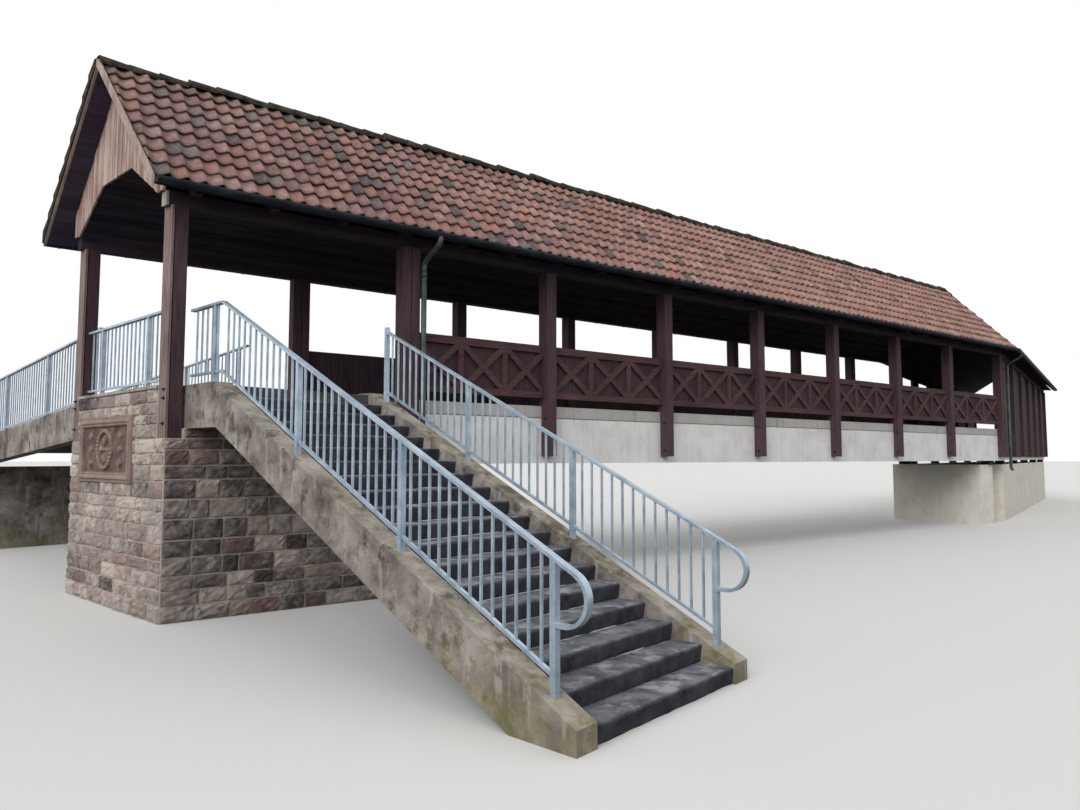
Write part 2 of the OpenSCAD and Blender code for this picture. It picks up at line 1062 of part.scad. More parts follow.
module ridge_cap() {
  color("#5f4a40") {
    intersection() {
      along_x(x_low, x_high)
        ridge_2d();
      main_zone(verge + barge_t, 0, 9000);
    }
    far_frame()
      intersection() {
        along_x(-zone_y, far_len + verge + barge_t)
          ridge_2d();
        far_zone(verge + barge_t, 0, 9000);
      }
  }
}

module gutters() {
  color("#2f3c38") {
    intersection() {
      along_x(x_low, x_high) {
        gutter_2d(-1);
        gutter_2d(1);
      }
      main_zone(verge, 0, 9000);
    }
    far_frame()
      intersection() {
        along_x(-zone_y, far_len + verge) {
          gutter_2d(-1);
          gutter_2d(1);
        }
        far_zone(verge, 0, 9000);
      }
  }
}

module rod(a, b, r) {
  v = b - a;
  l = norm(v);
  translate(a)
    rotate([0, acos(v[2] / l), atan2(v[1], v[0])])
      cylinder(h = l, r = r, $fn = 24);
}

// Pipe down the face y = -hw, with a swan neck up to the gutter
module pipe_run(x, low, shift) {
  cz = ridge_z - roof_k * eave_half - 40 - gutter_r;
  rod([x, -hw - pipe_r, low], [x, -hw - pipe_r, purlin_z - 210], pipe_r);
  rod([x, -hw - pipe_r, purlin_z - 230], [x + shift, -eave_half - gutter_r, cz - 1], pipe_r * 0.96);
}

module downpipes() {
  color("#5f6b68") {
    pipe_run(pair_x + 2 * pair_w + pair_gap + pipe_r, deck_z - beam_h / 2, 60);
    far_frame() {
      x = far_bay / 5;
      pipe_run(x, shoe_z, 60);
      rod([x, -hw - pipe_r, shoe_z + 20], [x, -hw - pipe_r - 110, shoe_z - 90], pipe_r * 0.96);
      for (z = [foot_z + 120, purlin_z - 330])
        translate([x - pipe_r / 2, -hw - pipe_r / 2, z])
          cube([pipe_r, post_proud - 40 + pipe_r / 2, pipe_r]);
    }
  }
}

module far_wall_south() {
  color("#45302d")
    far_frame()
      for (i = [0:far_n - 1]) {
        x0 = i == 0 ? -hw * tb + 29 + pair_w : i * far_bay - 25 + post_w;
        x1 = (i + 1) * far_bay - 25;
        translate([x0, -beam_y - 40, foot_z])
          cube([x1 - x0, 40, purlin_z - foot_z]);
      }
}

module far_wall_north() {
  color("#45302d")
    far_frame()
      for (i = [0:far_n - 1]) {
        x0 = i == 0 ? hw * tb + 29 + pair_w : i * far_bay - 25 + post_w;
        x1 = (i + 1) * far_bay - 25;
        difference() {
          translate([x0, beam_y, foot_z])
            cube([x1 - x0, 40, purlin_z - foot_z]);
          translate([x0 + 260, beam_y - 1, rail_top])
            cube([x1 - x0 - 520, 42, 800]);
        }
      }
}

module bearings() {
  color("#3b3b3a") {
    for (s = [-1, 1]) {
      y = s * (beam_y - beam_w / 2) - bearing_w / 2;
      translate([bend_x - s * beam_w / 2 * tb - 420, y, pier_z])
        cube([bearing_l, bearing_w, beam_z - pier_z]);
      far_frame()
        for (i = [0:4])
          translate([900 + i * (far_len - 1200) / 4, y, pier_z])
            cube([bearing_l, bearing_w, beam_z - pier_z]);
    }
  }
}

module bend_pier() {
  color("#bdb8ab")
    translate([bend_x - 900, -beam_y + 90, 0])
      cube([760, 2 * (beam_y - 90), pier_z]);
}

module far_abutment() {
  color("#bdb8ab")
    far_frame()
      translate([420, -beam_y + 20, 0])
        cube([far_len - 420, 2 * (beam_y - 20), pier_z]);
}

abutment_wall();
abutment_coping();
relief_plaque();
platform_slab();
stair_cheek_west();
stair_cheek_east();
stair_landing();
stair_steps_odd();
stair_steps_even();
stair_rail_west();
stair_rail_east();
gable_rail();
ramp_slab();
ramp_beams();
ramp_pier();
ramp_rail_west();
ramp_rail_east();
bridge_beams();
bridge_deck();
gable_posts();
pair_posts();
posts_south();
posts_north();
bend_posts();
far_posts();
railing_south();
railing_north();
railing_boards();
purlins();
ceiling();
gable_boards();
barge_boards();
roof_south();
roof_north();
far_roof_south();
far_roof_north();
rafters();
ridge_cap();
gutters();
downpipes();
far_wall_south();
far_wall_north();
far_abutment();
bend_pier();
bearings();
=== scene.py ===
import bpy
import math
import numpy as np
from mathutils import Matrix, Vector


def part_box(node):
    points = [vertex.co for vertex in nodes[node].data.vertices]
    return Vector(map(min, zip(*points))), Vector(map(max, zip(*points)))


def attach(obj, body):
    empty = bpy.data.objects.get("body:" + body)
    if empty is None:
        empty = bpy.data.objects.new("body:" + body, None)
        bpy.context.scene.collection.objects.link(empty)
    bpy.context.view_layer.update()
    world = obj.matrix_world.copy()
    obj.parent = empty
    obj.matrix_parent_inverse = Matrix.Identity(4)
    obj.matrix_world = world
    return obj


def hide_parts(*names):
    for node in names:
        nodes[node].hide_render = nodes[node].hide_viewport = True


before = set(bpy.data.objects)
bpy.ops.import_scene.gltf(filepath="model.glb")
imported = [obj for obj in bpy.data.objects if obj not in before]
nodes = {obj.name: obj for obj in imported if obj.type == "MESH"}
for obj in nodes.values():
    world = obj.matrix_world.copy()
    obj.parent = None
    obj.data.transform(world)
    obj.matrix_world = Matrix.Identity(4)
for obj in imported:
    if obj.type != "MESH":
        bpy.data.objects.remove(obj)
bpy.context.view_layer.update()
print("frame loaded")

# The bridge's own lines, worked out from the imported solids. Metres throughout.
bridge = {
    "skew": math.radians(12),       # gable, stair and ramp against the cross direction
    "bend": math.radians(16),       # far run against the first run
    "roofRise": 1.08,               # rise of the slope for each metre of run
    "stairTurn": math.radians(11.4),  # stair against the cross direction
    "verge": 0.318,                 # roof past the gable line
    "beamEnd": 0.045,               # eaves beams and ceiling past the gable line
    "gutter": 0.062,                # radius of the gutters
    "groove": 0.184,                # drip groove of the bridge beams below their top
}
skewTan = math.tan(bridge["skew"])
mitreTan = math.tan(bridge["bend"] / 2)
slopeLow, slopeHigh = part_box("roof_south")
ridgeZ = slopeHigh.z
eaveY = -slopeLow.y
bendX = slopeHigh.x - eaveY * mitreTan
halfWidth = -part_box("gable_posts")[0].y
vergeX = bridge["verge"] / math.cos(bridge["skew"])
gableX = halfWidth * skewTan          # gable line at the south corner
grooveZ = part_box("bridge_beams")[1].z - bridge["groove"]
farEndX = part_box("far_roof_south")[1].x - eaveY * math.sin(bridge["bend"])
farLength = (farEndX - bendX) / math.cos(bridge["bend"])


def linear(hexColour):
    # sRGB hex to linear light: a straight line near black, a 2.4 power curve above
    value = np.array([int(hexColour[i:i + 2], 16) for i in (1, 3, 5)]) / 255
    light = np.where(value <= 0.04045, value / 12.92, ((value + 0.055) / 1.055) ** 2.4)
    return (*light.tolist(), 1.0)


def addNode(tree, kind, settings=None, links=None):
    # one shader node, its fields and socket values by name or number, and what feeds it;
    # stops are the places and colours of a ramp
    node = tree.nodes.new("ShaderNode" + kind)
    for key, value in (settings or {}).items():
        if key == "stops":
            ramp = node.color_ramp.elements
            while len(ramp) < len(value):
                ramp.new(0.5)
            for element, (position, colour) in zip(ramp, value):
                element.position, element.color = position, linear(colour)
        elif isinstance(key, int) or key in node.inputs:
            node.inputs[key].default_value = value
        else:
            setattr(node, key, value)
    for key, source in (links or {}).items():
        tree.links.new(source, node.inputs[key])
    return node


def newMaterial(name):
    # a node material with nothing in it yet
    material = bpy.data.materials.new(name)
    material.use_nodes = True
    material.node_tree.nodes.clear()
    return material, material.node_tree


def closeMaterial(tree, settings, links, height=None, depth=0.002):
    # Principled surface with a bump in metres, wired to the output
    if height is not None:
        bump = addNode(tree, "Bump", {"Strength": 1.0, "Distance": depth}, {"Height": height})
        links = {**links, "Normal": bump.outputs[0]}
    shader = addNode(tree, "BsdfPrincipled", settings, links)
    addNode(tree, "OutputMaterial", {}, {"Surface": shader.outputs[0]})


def patterns(tree, **kinds):
    # the cloudy patterns of one material, on Object coordinates: millimetres across one patch,
    # detail, roughness and, for one that is drawn out, its share of change along x, y, z
    place = addNode(tree, "TexCoord").outputs["Object"]
    found = {"place": place}
    for name, (size, detail, roughness, *stretch) in kinds.items():
        laid = place
        if stretch:
            laid = addNode(tree, "Mapping", {"Scale": stretch[0]}, {"Vector": place}).outputs[0]
        settings = {"Scale": 1000 / size, "Detail": detail, "Roughness": roughness}
        found[name] = addNode(tree, "TexNoise", settings, {"Vector": laid}).outputs["Fac"]
    return found


def layOver(tree, body, colour, mask, *run):
    # a colour over the body, as strong as the mask; with a run of start, full and strength, where
    # the mask goes from start to full, and at most that strong
    if run:
        limits = dict(zip(("From Min", "From Max", "To Max"), run))
        mask = addNode(tree, "MapRange", limits, {"Value": mask}).outputs[0]
    return addNode(tree, "Mix", {"data_type": "RGBA", 7: linear(colour)}, {0: mask, 6: body}).outputs[2]


def quads(rows, columns):
    # corner numbers of the faces of a grid with rows x columns points
    r, c = np.meshgrid(np.arange(rows - 1), np.arange(columns - 1), indexing="ij")
    corner = (r * columns + c).ravel()
    return np.stack([corner, corner + 1, corner + columns + 1, corner + columns], 1)


def tubeFaces(rings, sides):
    # corner numbers of the faces round a tube, one ring of points after the other
    ring, side = np.meshgrid(np.arange(rings - 1), np.arange(sides), indexing="ij")
    here, beside = ring * sides + side, ring * sides + (side + 1) % sides
    return np.stack([here, beside, beside + sides, here + sides], -1).reshape(-1, 4)


def facesOfAll(patch, count, corners):
    # the faces of one body repeated for count bodies with so many corners each
    return (np.arange(count)[:, None, None] * corners + patch[None]).reshape(-1, 4)


def addPiece(name, points, faces, material, cad=(), uv=None, tone=None, smooth=False):
    # one mesh on the root body: point list, face list, one UV and one tone for each point
    mesh = bpy.data.meshes.new(name)
    mesh.from_pydata(points.tolist(), [], faces.tolist())
    if uv is not None:
        corners = np.zeros(len(mesh.loops), np.int32)
        mesh.loops.foreach_get("vertex_index", corners)
        mesh.uv_layers.new(name="lay").data.foreach_set("uv", uv[corners].astype(np.float32).ravel())
    if tone is not None:
        mesh.attributes.new("tone", "FLOAT", "POINT").data.foreach_set("value", tone.astype(np.float32))
    mesh.polygons.foreach_set("use_smooth", np.full(len(mesh.polygons), smooth))
    mesh.materials.append(material)
    mesh.validate()
    piece = bpy.data.objects.new(name, mesh)
    bpy.context.scene.collection.objects.link(piece)
    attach(piece, "root")
    if cad:
        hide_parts(*cad)
    return piece


def turned(points, angle, x, y):
    # a local frame laid into the row frame: x cos - y sin and x sin + y cos, then moved by x, y
    laid = np.array(points, float)
    laid[..., 0] = x + points[..., 0] * math.cos(angle) - points[..., 1] * math.sin(angle)
    laid[..., 1] = y + points[..., 0] * math.sin(angle) + points[..., 1] * math.cos(angle)
    return laid


def intoFar(points):
    # far run: X along it from the bend, Y across
    return turned(points, bridge["bend"], bendX, 0.0)


def intoSkew(points):
    # gable wall and ramp: X away from the gable line, Y along it from the south corner
    return turned(points, bridge["skew"], gableX, -halfWidth)


def intoStair(points):
    # stair: X across the flight, Y up it towards the platform
    return turned(points, bridge["stairTurn"], gableX, -halfWidth)


def blocks(x, y, z):
    # n bodies with two places each along x, y and z, in arrays of shape n, z, y, x; a place may
    # depend on the other two
    corners = np.stack(np.broadcast_arrays(x, y, z), -1)
    return corners.reshape(len(corners), 8, 3)


def addBlocks(name, corners, material, cad=(), seed=1, spread=0.12):
    # eight corners for each body, x fastest, then y, then z; faces turned outwards by the
    # sign of the product of its three first edges; one tone for each body
    sides = np.array([[0, 2, 3, 1], [4, 5, 7, 6], [0, 1, 5, 4],
                      [2, 6, 7, 3], [0, 4, 6, 2], [1, 3, 7, 5]])
    first = corners[:, 0]
    turn = np.cross(corners[:, 1] - first, corners[:, 2] - first)
    inside = np.einsum("nx,nx->n", turn, corners[:, 4] - first) < 0
    faces = np.arange(len(corners))[:, None, None] * 8 + sides[None]
    faces = np.where(inside[:, None, None], faces[:, :, ::-1], faces)
    tone = np.repeat(np.random.default_rng(seed).normal(0, spread, len(corners)), 8)
    return addPiece(name, corners.reshape(-1, 3), faces.reshape(-1, 4), material, cad=cad, tone=tone)


tiles = {
    "width": 0.19,          # cover width of a pantile
    "courses": 9,           # rows from eaves to ridge
    "roll": 0.046,          # height of the roll above the pan
    "panAt": 0.33,          # lowest line of the pan, as a share of the width
    "rollAt": 0.90,         # top of the roll
    "seat": 0.8,            # share of the roll that lies under the roof line
    "lip": 0.030,           # lower edge above the tile below
    "clay": 0.018,          # thickness of the clay at the lower edge
    "underlap": 0.030,      # how far a tile runs up under the next one
    "tuck": 0.12,           # how far the underside of the lowest lip runs back
    "ridgeGap": 0.050,      # slope left bare under the ridge tiles
    "jitter": 0.005,        # how unevenly the tiles lie
    "vergeIn": 0.030,       # a verge tile starts this far inside the verge board
    "vergeOut": 0.050,      # and ends this far past the roof's edge
    "vergeTuck": 0.012,     # it runs so far under the next one
    "vergeHook": 0.076,     # how far it hangs down over that board
    "vergeTop": (0.104, 0.030),   # its top over the roof line at the lip and under the next one
    "seed": 3,
}


def pantileHeight(phase):
    # broad pan, low at a third of the tile, rising to a narrow roll at nine tenths and
    # dropping steeply on its far side; 0 in the pan, 1 on the roll
    low, crest = tiles["panAt"], tiles["rollAt"]
    rise = np.clip((phase - low) / (crest - low), 0, 1)
    past = np.where(phase < low, phase + 1 - crest, phase - crest)
    fall = np.clip(past / (1 + low - crest), 0, 1)
    rising = (phase >= low) & (phase <= crest)
    return np.where(rising, np.sin(rise * np.pi / 2) ** 1.8, (1 - fall) ** 2.4)


def tileField(name, cadNode, side, far, material):
    # rows climb the slope; each course is a lip, its clay edge and a gently falling face that
    # runs on under the next lip. Columns follow the roll and pan of every tile, and the ones
    # past the verge or the mitre are drawn in onto it.
    random = np.random.default_rng(tiles["seed"] + side + 5 * far)
    slope = math.hypot(eaveY, eaveY * bridge["roofRise"])
    cosSlope, sinSlope = eaveY / slope, eaveY * bridge["roofRise"] / slope
    gauge = (slope - tiles["ridgeGap"]) / tiles["courses"]
    start = -eaveY * mitreTan if far else -eaveY * skewTan - vergeX
    end = farLength if far else bendX + eaveY * mitreTan
    tileCount = int(math.ceil((end - start) / tiles["width"]))
    # places across a tile, closer together on the roll
    across = np.array([0.0, 0.12, 0.24, 0.36, 0.5, 0.62, 0.72, 0.8, 0.87, 0.93, 0.985])
    column = (np.arange(tileCount)[:, None] + across[None]).ravel()
    tileNumber = np.repeat(np.arange(tileCount), len(across))
    phase = np.tile(across, tileCount)

    # rows of one course: share of the gauge climbed, lift as a share of the lip, place in the UV;
    # the first is the lower edge of the clay, the second the upper one
    share = np.array([0, 0, 0.3, 0.65, 1])
    lift = tiles["lip"] * np.array([1, 1, 0.7, 0.35, 0]) - tiles["clay"] * np.array([1, 0, 0, 0, 0])
    course = np.arange(tiles["courses"])[:, None] * gauge
    climb = (course + gauge * share + tiles["underlap"] * (share == 1)).ravel()
    lift = np.tile(lift, tiles["courses"])
    fraction = np.tile([0.01, 0.012, 0.3, 0.65, 0.99], tiles["courses"])
    number = np.repeat(np.arange(tiles["courses"]), len(share))
    climb, lift = np.append([tiles["tuck"]], climb), np.append([-tiles["lip"]], lift)
    fraction, number = np.append([0.0], fraction), np.append([0], number)
    climb[-1] = slope - tiles["ridgeGap"] * 0.3

    # each tile lies a little high or low and a little up or down the slope
    wobble = random.normal(0, tiles["jitter"], (tiles["courses"], tileCount))
    slip = random.normal(0, tiles["jitter"], (tiles["courses"], tileCount))
    s = climb[:, None] + slip[number][:, tileNumber] * (fraction[:, None] < 0.5)
    height = (tiles["roll"] * pantileHeight(phase)[None] + lift[:, None] - tiles["roll"] * tiles["seat"]
              + wobble[number][:, tileNumber] * (1 - fraction[:, None]))
    y = side * (eaveY - s * cosSlope)
    x = start + column[None] * tiles["width"]
    if far:
        kept = np.clip(x, y * mitreTan, farLength)
    else:
        kept = np.clip(x, -y * skewTan - vergeX, bendX - y * mitreTan)
    y = y + side * height * sinSlope
    z = ridgeZ - eaveY * bridge["roofRise"] + s * sinSlope + height * cosSlope
    points = np.stack([kept, y, z], -1)
    if far:
        points = intoFar(points)
    row = np.broadcast_to((number + fraction)[:, None], kept.shape)
    uv = np.stack([(kept - start) / tiles["width"], row], -1)
    faces = quads(*kept.shape)
    wide = np.ptp(kept.ravel()[faces], axis=1) > 1e-6       # faces squeezed flat at an edge go
    faces = faces[wide]
    if side > 0:
        faces = faces[:, ::-1]
    used, order = np.unique(faces, return_inverse=True)
    piece = addPiece(name, points.reshape(-1, 3)[used], order.reshape(-1, 4), material,
                     cad=(cadNode,), uv=uv.reshape(-1, 2)[used], smooth=True)


def clayTile():
    # fired clay pantiles, sand-faced and matt: brick red to brown, many gone grey with lichen, soot and
    # moss near the ridge, soot with painted shade and a painted shadow line under each lip; the sand is
    # drawn 11 mm wide, so that it shows
    material, tree = newMaterial("firedClayPantile")
    seen = patterns(tree, drift=(1111, 3.0, 0.5), mottle=(38.46, 5.0, 0.7), wine=(76.92, 6.0, 0.7),
                    lichen=(71.43, 5.0, 0.65), soot=(200, 4.0, 0.5), grit=(11.11, 3.0, 0.5))
    along = addNode(tree, "SeparateXYZ", {}, {0: seen["place"]}).outputs["X"]
    # the UV counts tiles and courses: whole numbers draw each tile's lot, the rest is the place in it
    lay = addNode(tree, "UVMap", {"uv_map": "lay"}).outputs[0]
    cell = addNode(tree, "VectorMath", {"operation": "FLOOR"}, {0: lay}).outputs[0]
    within = addNode(tree, "VectorMath", {"operation": "FRACTION"}, {0: lay}).outputs[0]
    inTile = addNode(tree, "SeparateXYZ", {}, {0: within})
    lot = addNode(tree, "TexWhiteNoise", {"noise_dimensions": "3D"}, {"Vector": cell})
    lots = addNode(tree, "SeparateColor", {}, {0: lot.outputs["Color"]})
    # slate-dark tiles: one in five by the gable, few from the tenth metre on
    darkShare = addNode(tree, "MapRange",
                        {"From Min": 0.0, "From Max": 10.0, "To Min": 0.20, "To Max": 0.015},
                        {"Value": along}).outputs[0]
    dark = addNode(tree, "Math", {"operation": "LESS_THAN"},
                   {0: lot.outputs["Value"], 1: darkShare}).outputs[0]
    dark = addNode(tree, "Math", {"operation": "MULTIPLY", 1: 0.82}, {0: dark}).outputs[0]
    # rain streaks 21 mm wide and 150 mm long, counted in tile widths and courses
    drawn = addNode(tree, "Mapping", {"Scale": (6.0, 1.3, 1.0)}, {"Vector": lay}).outputs[0]
    choose = addNode(tree, "TexNoise", {"Scale": 1.5, "Detail": 5.0, "Roughness": 0.65},
                     {"Vector": drawn}).outputs["Fac"]
    for source, weight in ((lots.outputs[1], 0.42), (seen["drift"], 0.6), (seen["mottle"], 1.7)):
        choose = addNode(tree, "Math", {"operation": "MULTIPLY_ADD", 1: weight},
                         {0: source, 2: choose}).outputs[0]
    choose = addNode(tree, "MapRange", {"From Min": 1.46, "From Max": 2.30},
                     {"Value": choose}).outputs[0]
    body = addNode(tree, "ValToRGB", {"stops": [
        (0.0, "#543c3f"), (0.2, "#785a57"), (0.42, "#9b736b"), (0.62, "#b0857b"), (0.82, "#bd988e"),
        (1.0, "#c9aea6")]}, {"Fac": choose}).outputs[0]
    # wine red and paler mottling, a hand's breadth across
    body = layOver(tree, body, "#8a5a57", seen["wine"], 0.44, 0.62, 0.6)
    body = layOver(tree, body, "#c19a8b", seen["wine"], 0.50, 0.36, 0.55)
    # one tile in six came from a hotter batch, more orange
    body = layOver(tree, body, "#b4795c", lots.outputs[2], 0.80, 0.86, 0.45)
    # towards the gable the red is dulled by grey grime, farther along the clay is drawn paler
    dull = addNode(tree, "Math", {"operation": "MULTIPLY", 1: 1.5}, {0: darkShare}).outputs[0]
    body = layOver(tree, body, "#776d70", dull)
    body = layOver(tree, body, "#dbb6aa", along, 2.0, 10.0, 0.16)
    slate = addNode(tree, "ValToRGB", {"stops": [(0.2, "#474548"), (0.8, "#827976")]},
                    {"Fac": choose}).outputs[0]
    body = addNode(tree, "Mix", {"data_type": "RGBA"}, {0: dark, 6: body, 7: slate}).outputs[2]
    body = layOver(tree, body, "#736a6c", seen["lichen"], 0.46, 0.66, 0.4)
    # dirt gathers in the pan; where a tile runs under the next one it is darkened by soot and by painted
    # shade
    pan = addNode(tree, "MapRange", {"From Min": 0.62, "From Max": 0.12, "To Max": 0.5},
                  {"Value": inTile.outputs["X"]}).outputs[0]
    underLipDirtAndShade = addNode(tree, "MapRange", {"From Min": 0.78, "From Max": 1.0, "To Max": 0.9},
                    {"Value": inTile.outputs["Y"]}).outputs[0]
    dirtAndShade = addNode(tree, "Math", {"operation": "ADD"}, {0: pan, 1: underLipDirtAndShade}).outputs[0]
    dirtAndShade = addNode(tree, "Math", {"operation": "MULTIPLY", "use_clamp": True},
                   {0: dirtAndShade, 1: seen["soot"]}).outputs[0]
    body = layOver(tree, body, "#2f2a2c", dirtAndShade)
    # near black painted shadow under the next lip and on the lip's cut face
    lipShadow = addNode(tree, "ValToRGB", {"stops": [
        (0.0, "#c0c0c0"), (0.012, "#909090"), (0.03, "#000000"), (0.87, "#000000"), (0.95, "#a8a8a8"),
        (1.0, "#f0f0f0")]}, {"Fac": inTile.outputs["Y"]}).outputs[0]
    body = layOver(tree, body, "#1b181b", lipShadow)
    # moss creeps down from the ridge over the top course, where lichen grows
    course = addNode(tree, "SeparateXYZ", {}, {0: lay}).outputs["Y"]
    top = addNode(tree, "MapRange",
                  {"From Min": tiles["courses"] - 1.3, "From Max": float(tiles["courses"])},
                  {"Value": course}).outputs[0]
    lichen = addNode(tree, "MapRange", {"From Min": 0.46, "From Max": 0.66},
                     {"Value": seen["lichen"]}).outputs[0]
    moss = addNode(tree, "Math", {"operation": "MULTIPLY"}, {0: top, 1: lichen}).outputs[0]
    body = layOver(tree, body, "#504d38", moss)
    closeMaterial(tree, {"Roughness": 0.86, "Specular IOR Level": 0.3}, {"Base Color": body},
                  height=seen["grit"], depth=0.003)
    return material


tileClay = clayTile()
for part, far in (("", False), ("far_", True)):
    for end, side in (("south", -1), ("north", 1)):
        tileField("tiles_" + part + end, part + "roof_" + end, side, far, tileClay)
print("roof tiles laid")

timbers = {
    # light and dark of the grain, its share of change along x, y, z, grain width in millimetres
    "post_timber": ("#634d4f", "#412f37", (1.0, 1.0, 0.06), 20),
    "rail_timber": ("#664a4a", "#422d32", (0.06, 1.0, 1.0), 18),
    "board_timber": ("#523f43", "#2e2330", (1.0, 1.0, 0.08), 22),
    # ceiling boards are drawn near black and bluish: painted shade under the roof
    "ceiling_timber": ("#49404e", "#231d2b", (0.05, 1.0, 1.0), 22),
    "gable_timber": ("#dec3b8", "#8a6d65", (1.0, 1.0, 0.05), 16),
    "verge_timber": ("#d3bfb4", "#8f7a70", (0.6, 0.08, 0.08), 20),
    # soffit boards are drawn dark and bluish: painted shade under the eaves
    "paintedShadeSoffitBoard": ("#50465a", "#3a323f", (0.05, 1.0, 1.0), 22),
    "bleachedPostBoard": ("#a38f8b", "#6d5856", (1.0, 1.0, 0.06), 20),
    "shadedEavesBeam": ("#4b3d45", "#2c2430", (0.06, 1.0, 1.0), 20),
}


def sawnTimber(name, light, dark, stretch, grain):
    # rough-sawn softwood gone grey: long grain streaks, drawn broad enough to show, darker wet
    # patches, dull all over
    material, tree = newMaterial(name)
    seen = patterns(tree, streak=(grain, 4.0, 0.6, stretch), patch=(625, 4.0, 0.5))
    mixed = addNode(tree, "Math", {"operation": "MULTIPLY_ADD", 1: 0.6},
                    {0: seen["patch"], 2: seen["streak"]}).outputs[0]
    board = addNode(tree, "Attribute", {"attribute_name": "tone"}).outputs["Fac"]
    mixed = addNode(tree, "Math", {"operation": "ADD"}, {0: mixed, 1: board}).outputs[0]
    tinted = addNode(tree, "MapRange", {"From Min": 0.55, "From Max": 1.05},
                     {"Value": mixed}).outputs[0]
    body = addNode(tree, "Mix", {"data_type": "RGBA", 6: linear(dark), 7: linear(light)},
                   {0: tinted}).outputs[2]
    closeMaterial(tree, {"Roughness": 0.8, "Specular IOR Level": 0.3}, {"Base Color": body},
                  height=seen["streak"], depth=0.004)
    return material


castings = {
    # light and dark of the surface, stain colour, share of stain
    "coping_stone": ("#c9bfb5", "#928981", "#4f493f", 0.55),
    "walking_surface": ("#6a6866", "#4c4a4a", "#37332f", 0.5),
    "masonry": ("#d2c9be", "#b0a598", "#756b62", 0.4),
    "limewashedBeamEnd": ("#d8d2c6", "#b5ada0", "#8f877b", 0.4),
    "bearingRubber": ("#2c2c2e", "#1c1c1e", "#3a3634", 0.3),
    "creamWashedPier": ("#fbf6ed", "#efe8dc", "#c2b7a6", 0.3),
}


def castStone(name, light, dark, stain, share):
    # cast or cut surface of stone, concrete or aged rubber: clouded tone, rain streaks down the
    # face, pores drawn 14 mm wide, so that they show
    material, tree = newMaterial(name)
    seen = patterns(tree, cloud=(454.5, 6.0, 0.62), streak=(111.1, 4.0, 0.5, (1.0, 1.0, 0.12)),
                    spots=(303, 8.0, 0.68), pores=(14.29, 4.0, 0.5))
    body = addNode(tree, "ValToRGB", {"stops": [(0.34, dark), (0.62, light)]},
                   {"Fac": seen["cloud"]}).outputs[0]
    wet = addNode(tree, "Math", {"operation": "MULTIPLY_ADD", 1: 0.45},
                  {0: seen["streak"], 2: seen["spots"]}).outputs[0]
    body = layOver(tree, body, stain, wet, 0.70, 0.90, share)
    closeMaterial(tree, {"Roughness": 0.88, "Specular IOR Level": 0.3}, {"Base Color": body},
                  height=seen["pores"], depth=0.003)
    return material


def carvedStone():
    # red sandstone carving: painted light on the raised parts and painted shade in the recesses,
    # its grain drawn 8 mm wide, so that it shows
    material, tree = newMaterial("carvedRedSandstone")
    seen = patterns(tree, cloud=(166.7, 6.0, 0.65), grain=(8.333, 4.0, 0.5))
    # the tone attribute is painted light and shade: high on the raised parts, low in the recesses
    reliefLightAndShade = addNode(tree, "Attribute", {"attribute_name": "tone"}).outputs["Fac"]
    mixed = addNode(tree, "Math", {"operation": "MULTIPLY_ADD", 1: 0.7},
                    {0: seen["cloud"], 2: reliefLightAndShade}).outputs[0]
    body = addNode(tree, "ValToRGB", {"stops": [
        (0.36, "#54453f"), (0.50, "#7c6963"), (0.68, "#9a867f"), (0.95, "#b3a097")]},
                   {"Fac": mixed}).outputs[0]
    closeMaterial(tree, {"Roughness": 0.9, "Specular IOR Level": 0.25}, {"Base Color": body},
                  height=seen["grain"], depth=0.003)
    return material


def washedBeam():
    # limewashed concrete beam: pale field with faint upright board marks and a few grey brown
    # runs; the strip over the drip groove is grey with dirt washed off the deck, the groove is a
    # painted dark line of shade, and the pores are drawn 17 mm wide, so that they show
    material, tree = newMaterial("limewashedBeam")
    seen = patterns(tree, marks=(71.43, 4.0, 0.6, (1.0, 1.0, 0.06)), cloud=(500, 6.0, 0.6),
                    pores=(16.67, 4.0, 0.5))
    level = addNode(tree, "SeparateXYZ", {}, {0: seen["place"]}).outputs["Z"]
    mixed = addNode(tree, "Math", {"operation": "MULTIPLY_ADD", 1: 0.6},
                    {0: seen["marks"], 2: seen["cloud"]}).outputs[0]
    body = addNode(tree, "ValToRGB", {"stops": [
        (0.55, "#e0dfdd"), (0.78, "#f1f0ef"), (0.95, "#fafaf9")]}, {"Fac": mixed}).outputs[0]
    # grime over the groove, runs below it, and painted shade in the groove itself, 18 mm high
    strip = addNode(tree, "MapRange",
                    {"From Min": grooveZ - 0.006, "From Max": grooveZ + 0.012, "To Max": 0.72},
                    {"Value": level}).outputs[0]
    grime = addNode(tree, "Math", {"operation": "MULTIPLY"}, {0: strip, 1: mixed}).outputs[0]
    foot = addNode(tree, "MapRange",
                   {"From Min": grooveZ - 0.30, "From Max": grooveZ, "To Max": 0.5},
                   {"Value": level}).outputs[0]
    drips = addNode(tree, "MapRange", {"From Min": 0.56, "From Max": 0.72},
                    {"Value": seen["marks"]}).outputs[0]
    drips = addNode(tree, "Math", {"operation": "MULTIPLY"}, {0: drips, 1: foot}).outputs[0]
    # painted shade: the groove is drawn as a dark band in the colour
    groove = addNode(tree, "Math", {"operation": "COMPARE", 1: grooveZ, 2: 0.009},
                     {0: level}).outputs[0]
    groove = addNode(tree, "Math", {"operation": "MULTIPLY", 1: 0.7}, {0: groove}).outputs[0]
    for mask, colour in ((grime, "#8f8a83"), (drips, "#a49c92"), (groove, "#6f6862")):
        body = layOver(tree, body, colour, mask)
    closeMaterial(tree, {"Roughness": 0.85, "Specular IOR Level": 0.3}, {"Base Color": body},
                  height=seen["pores"], depth=0.002)
    return material


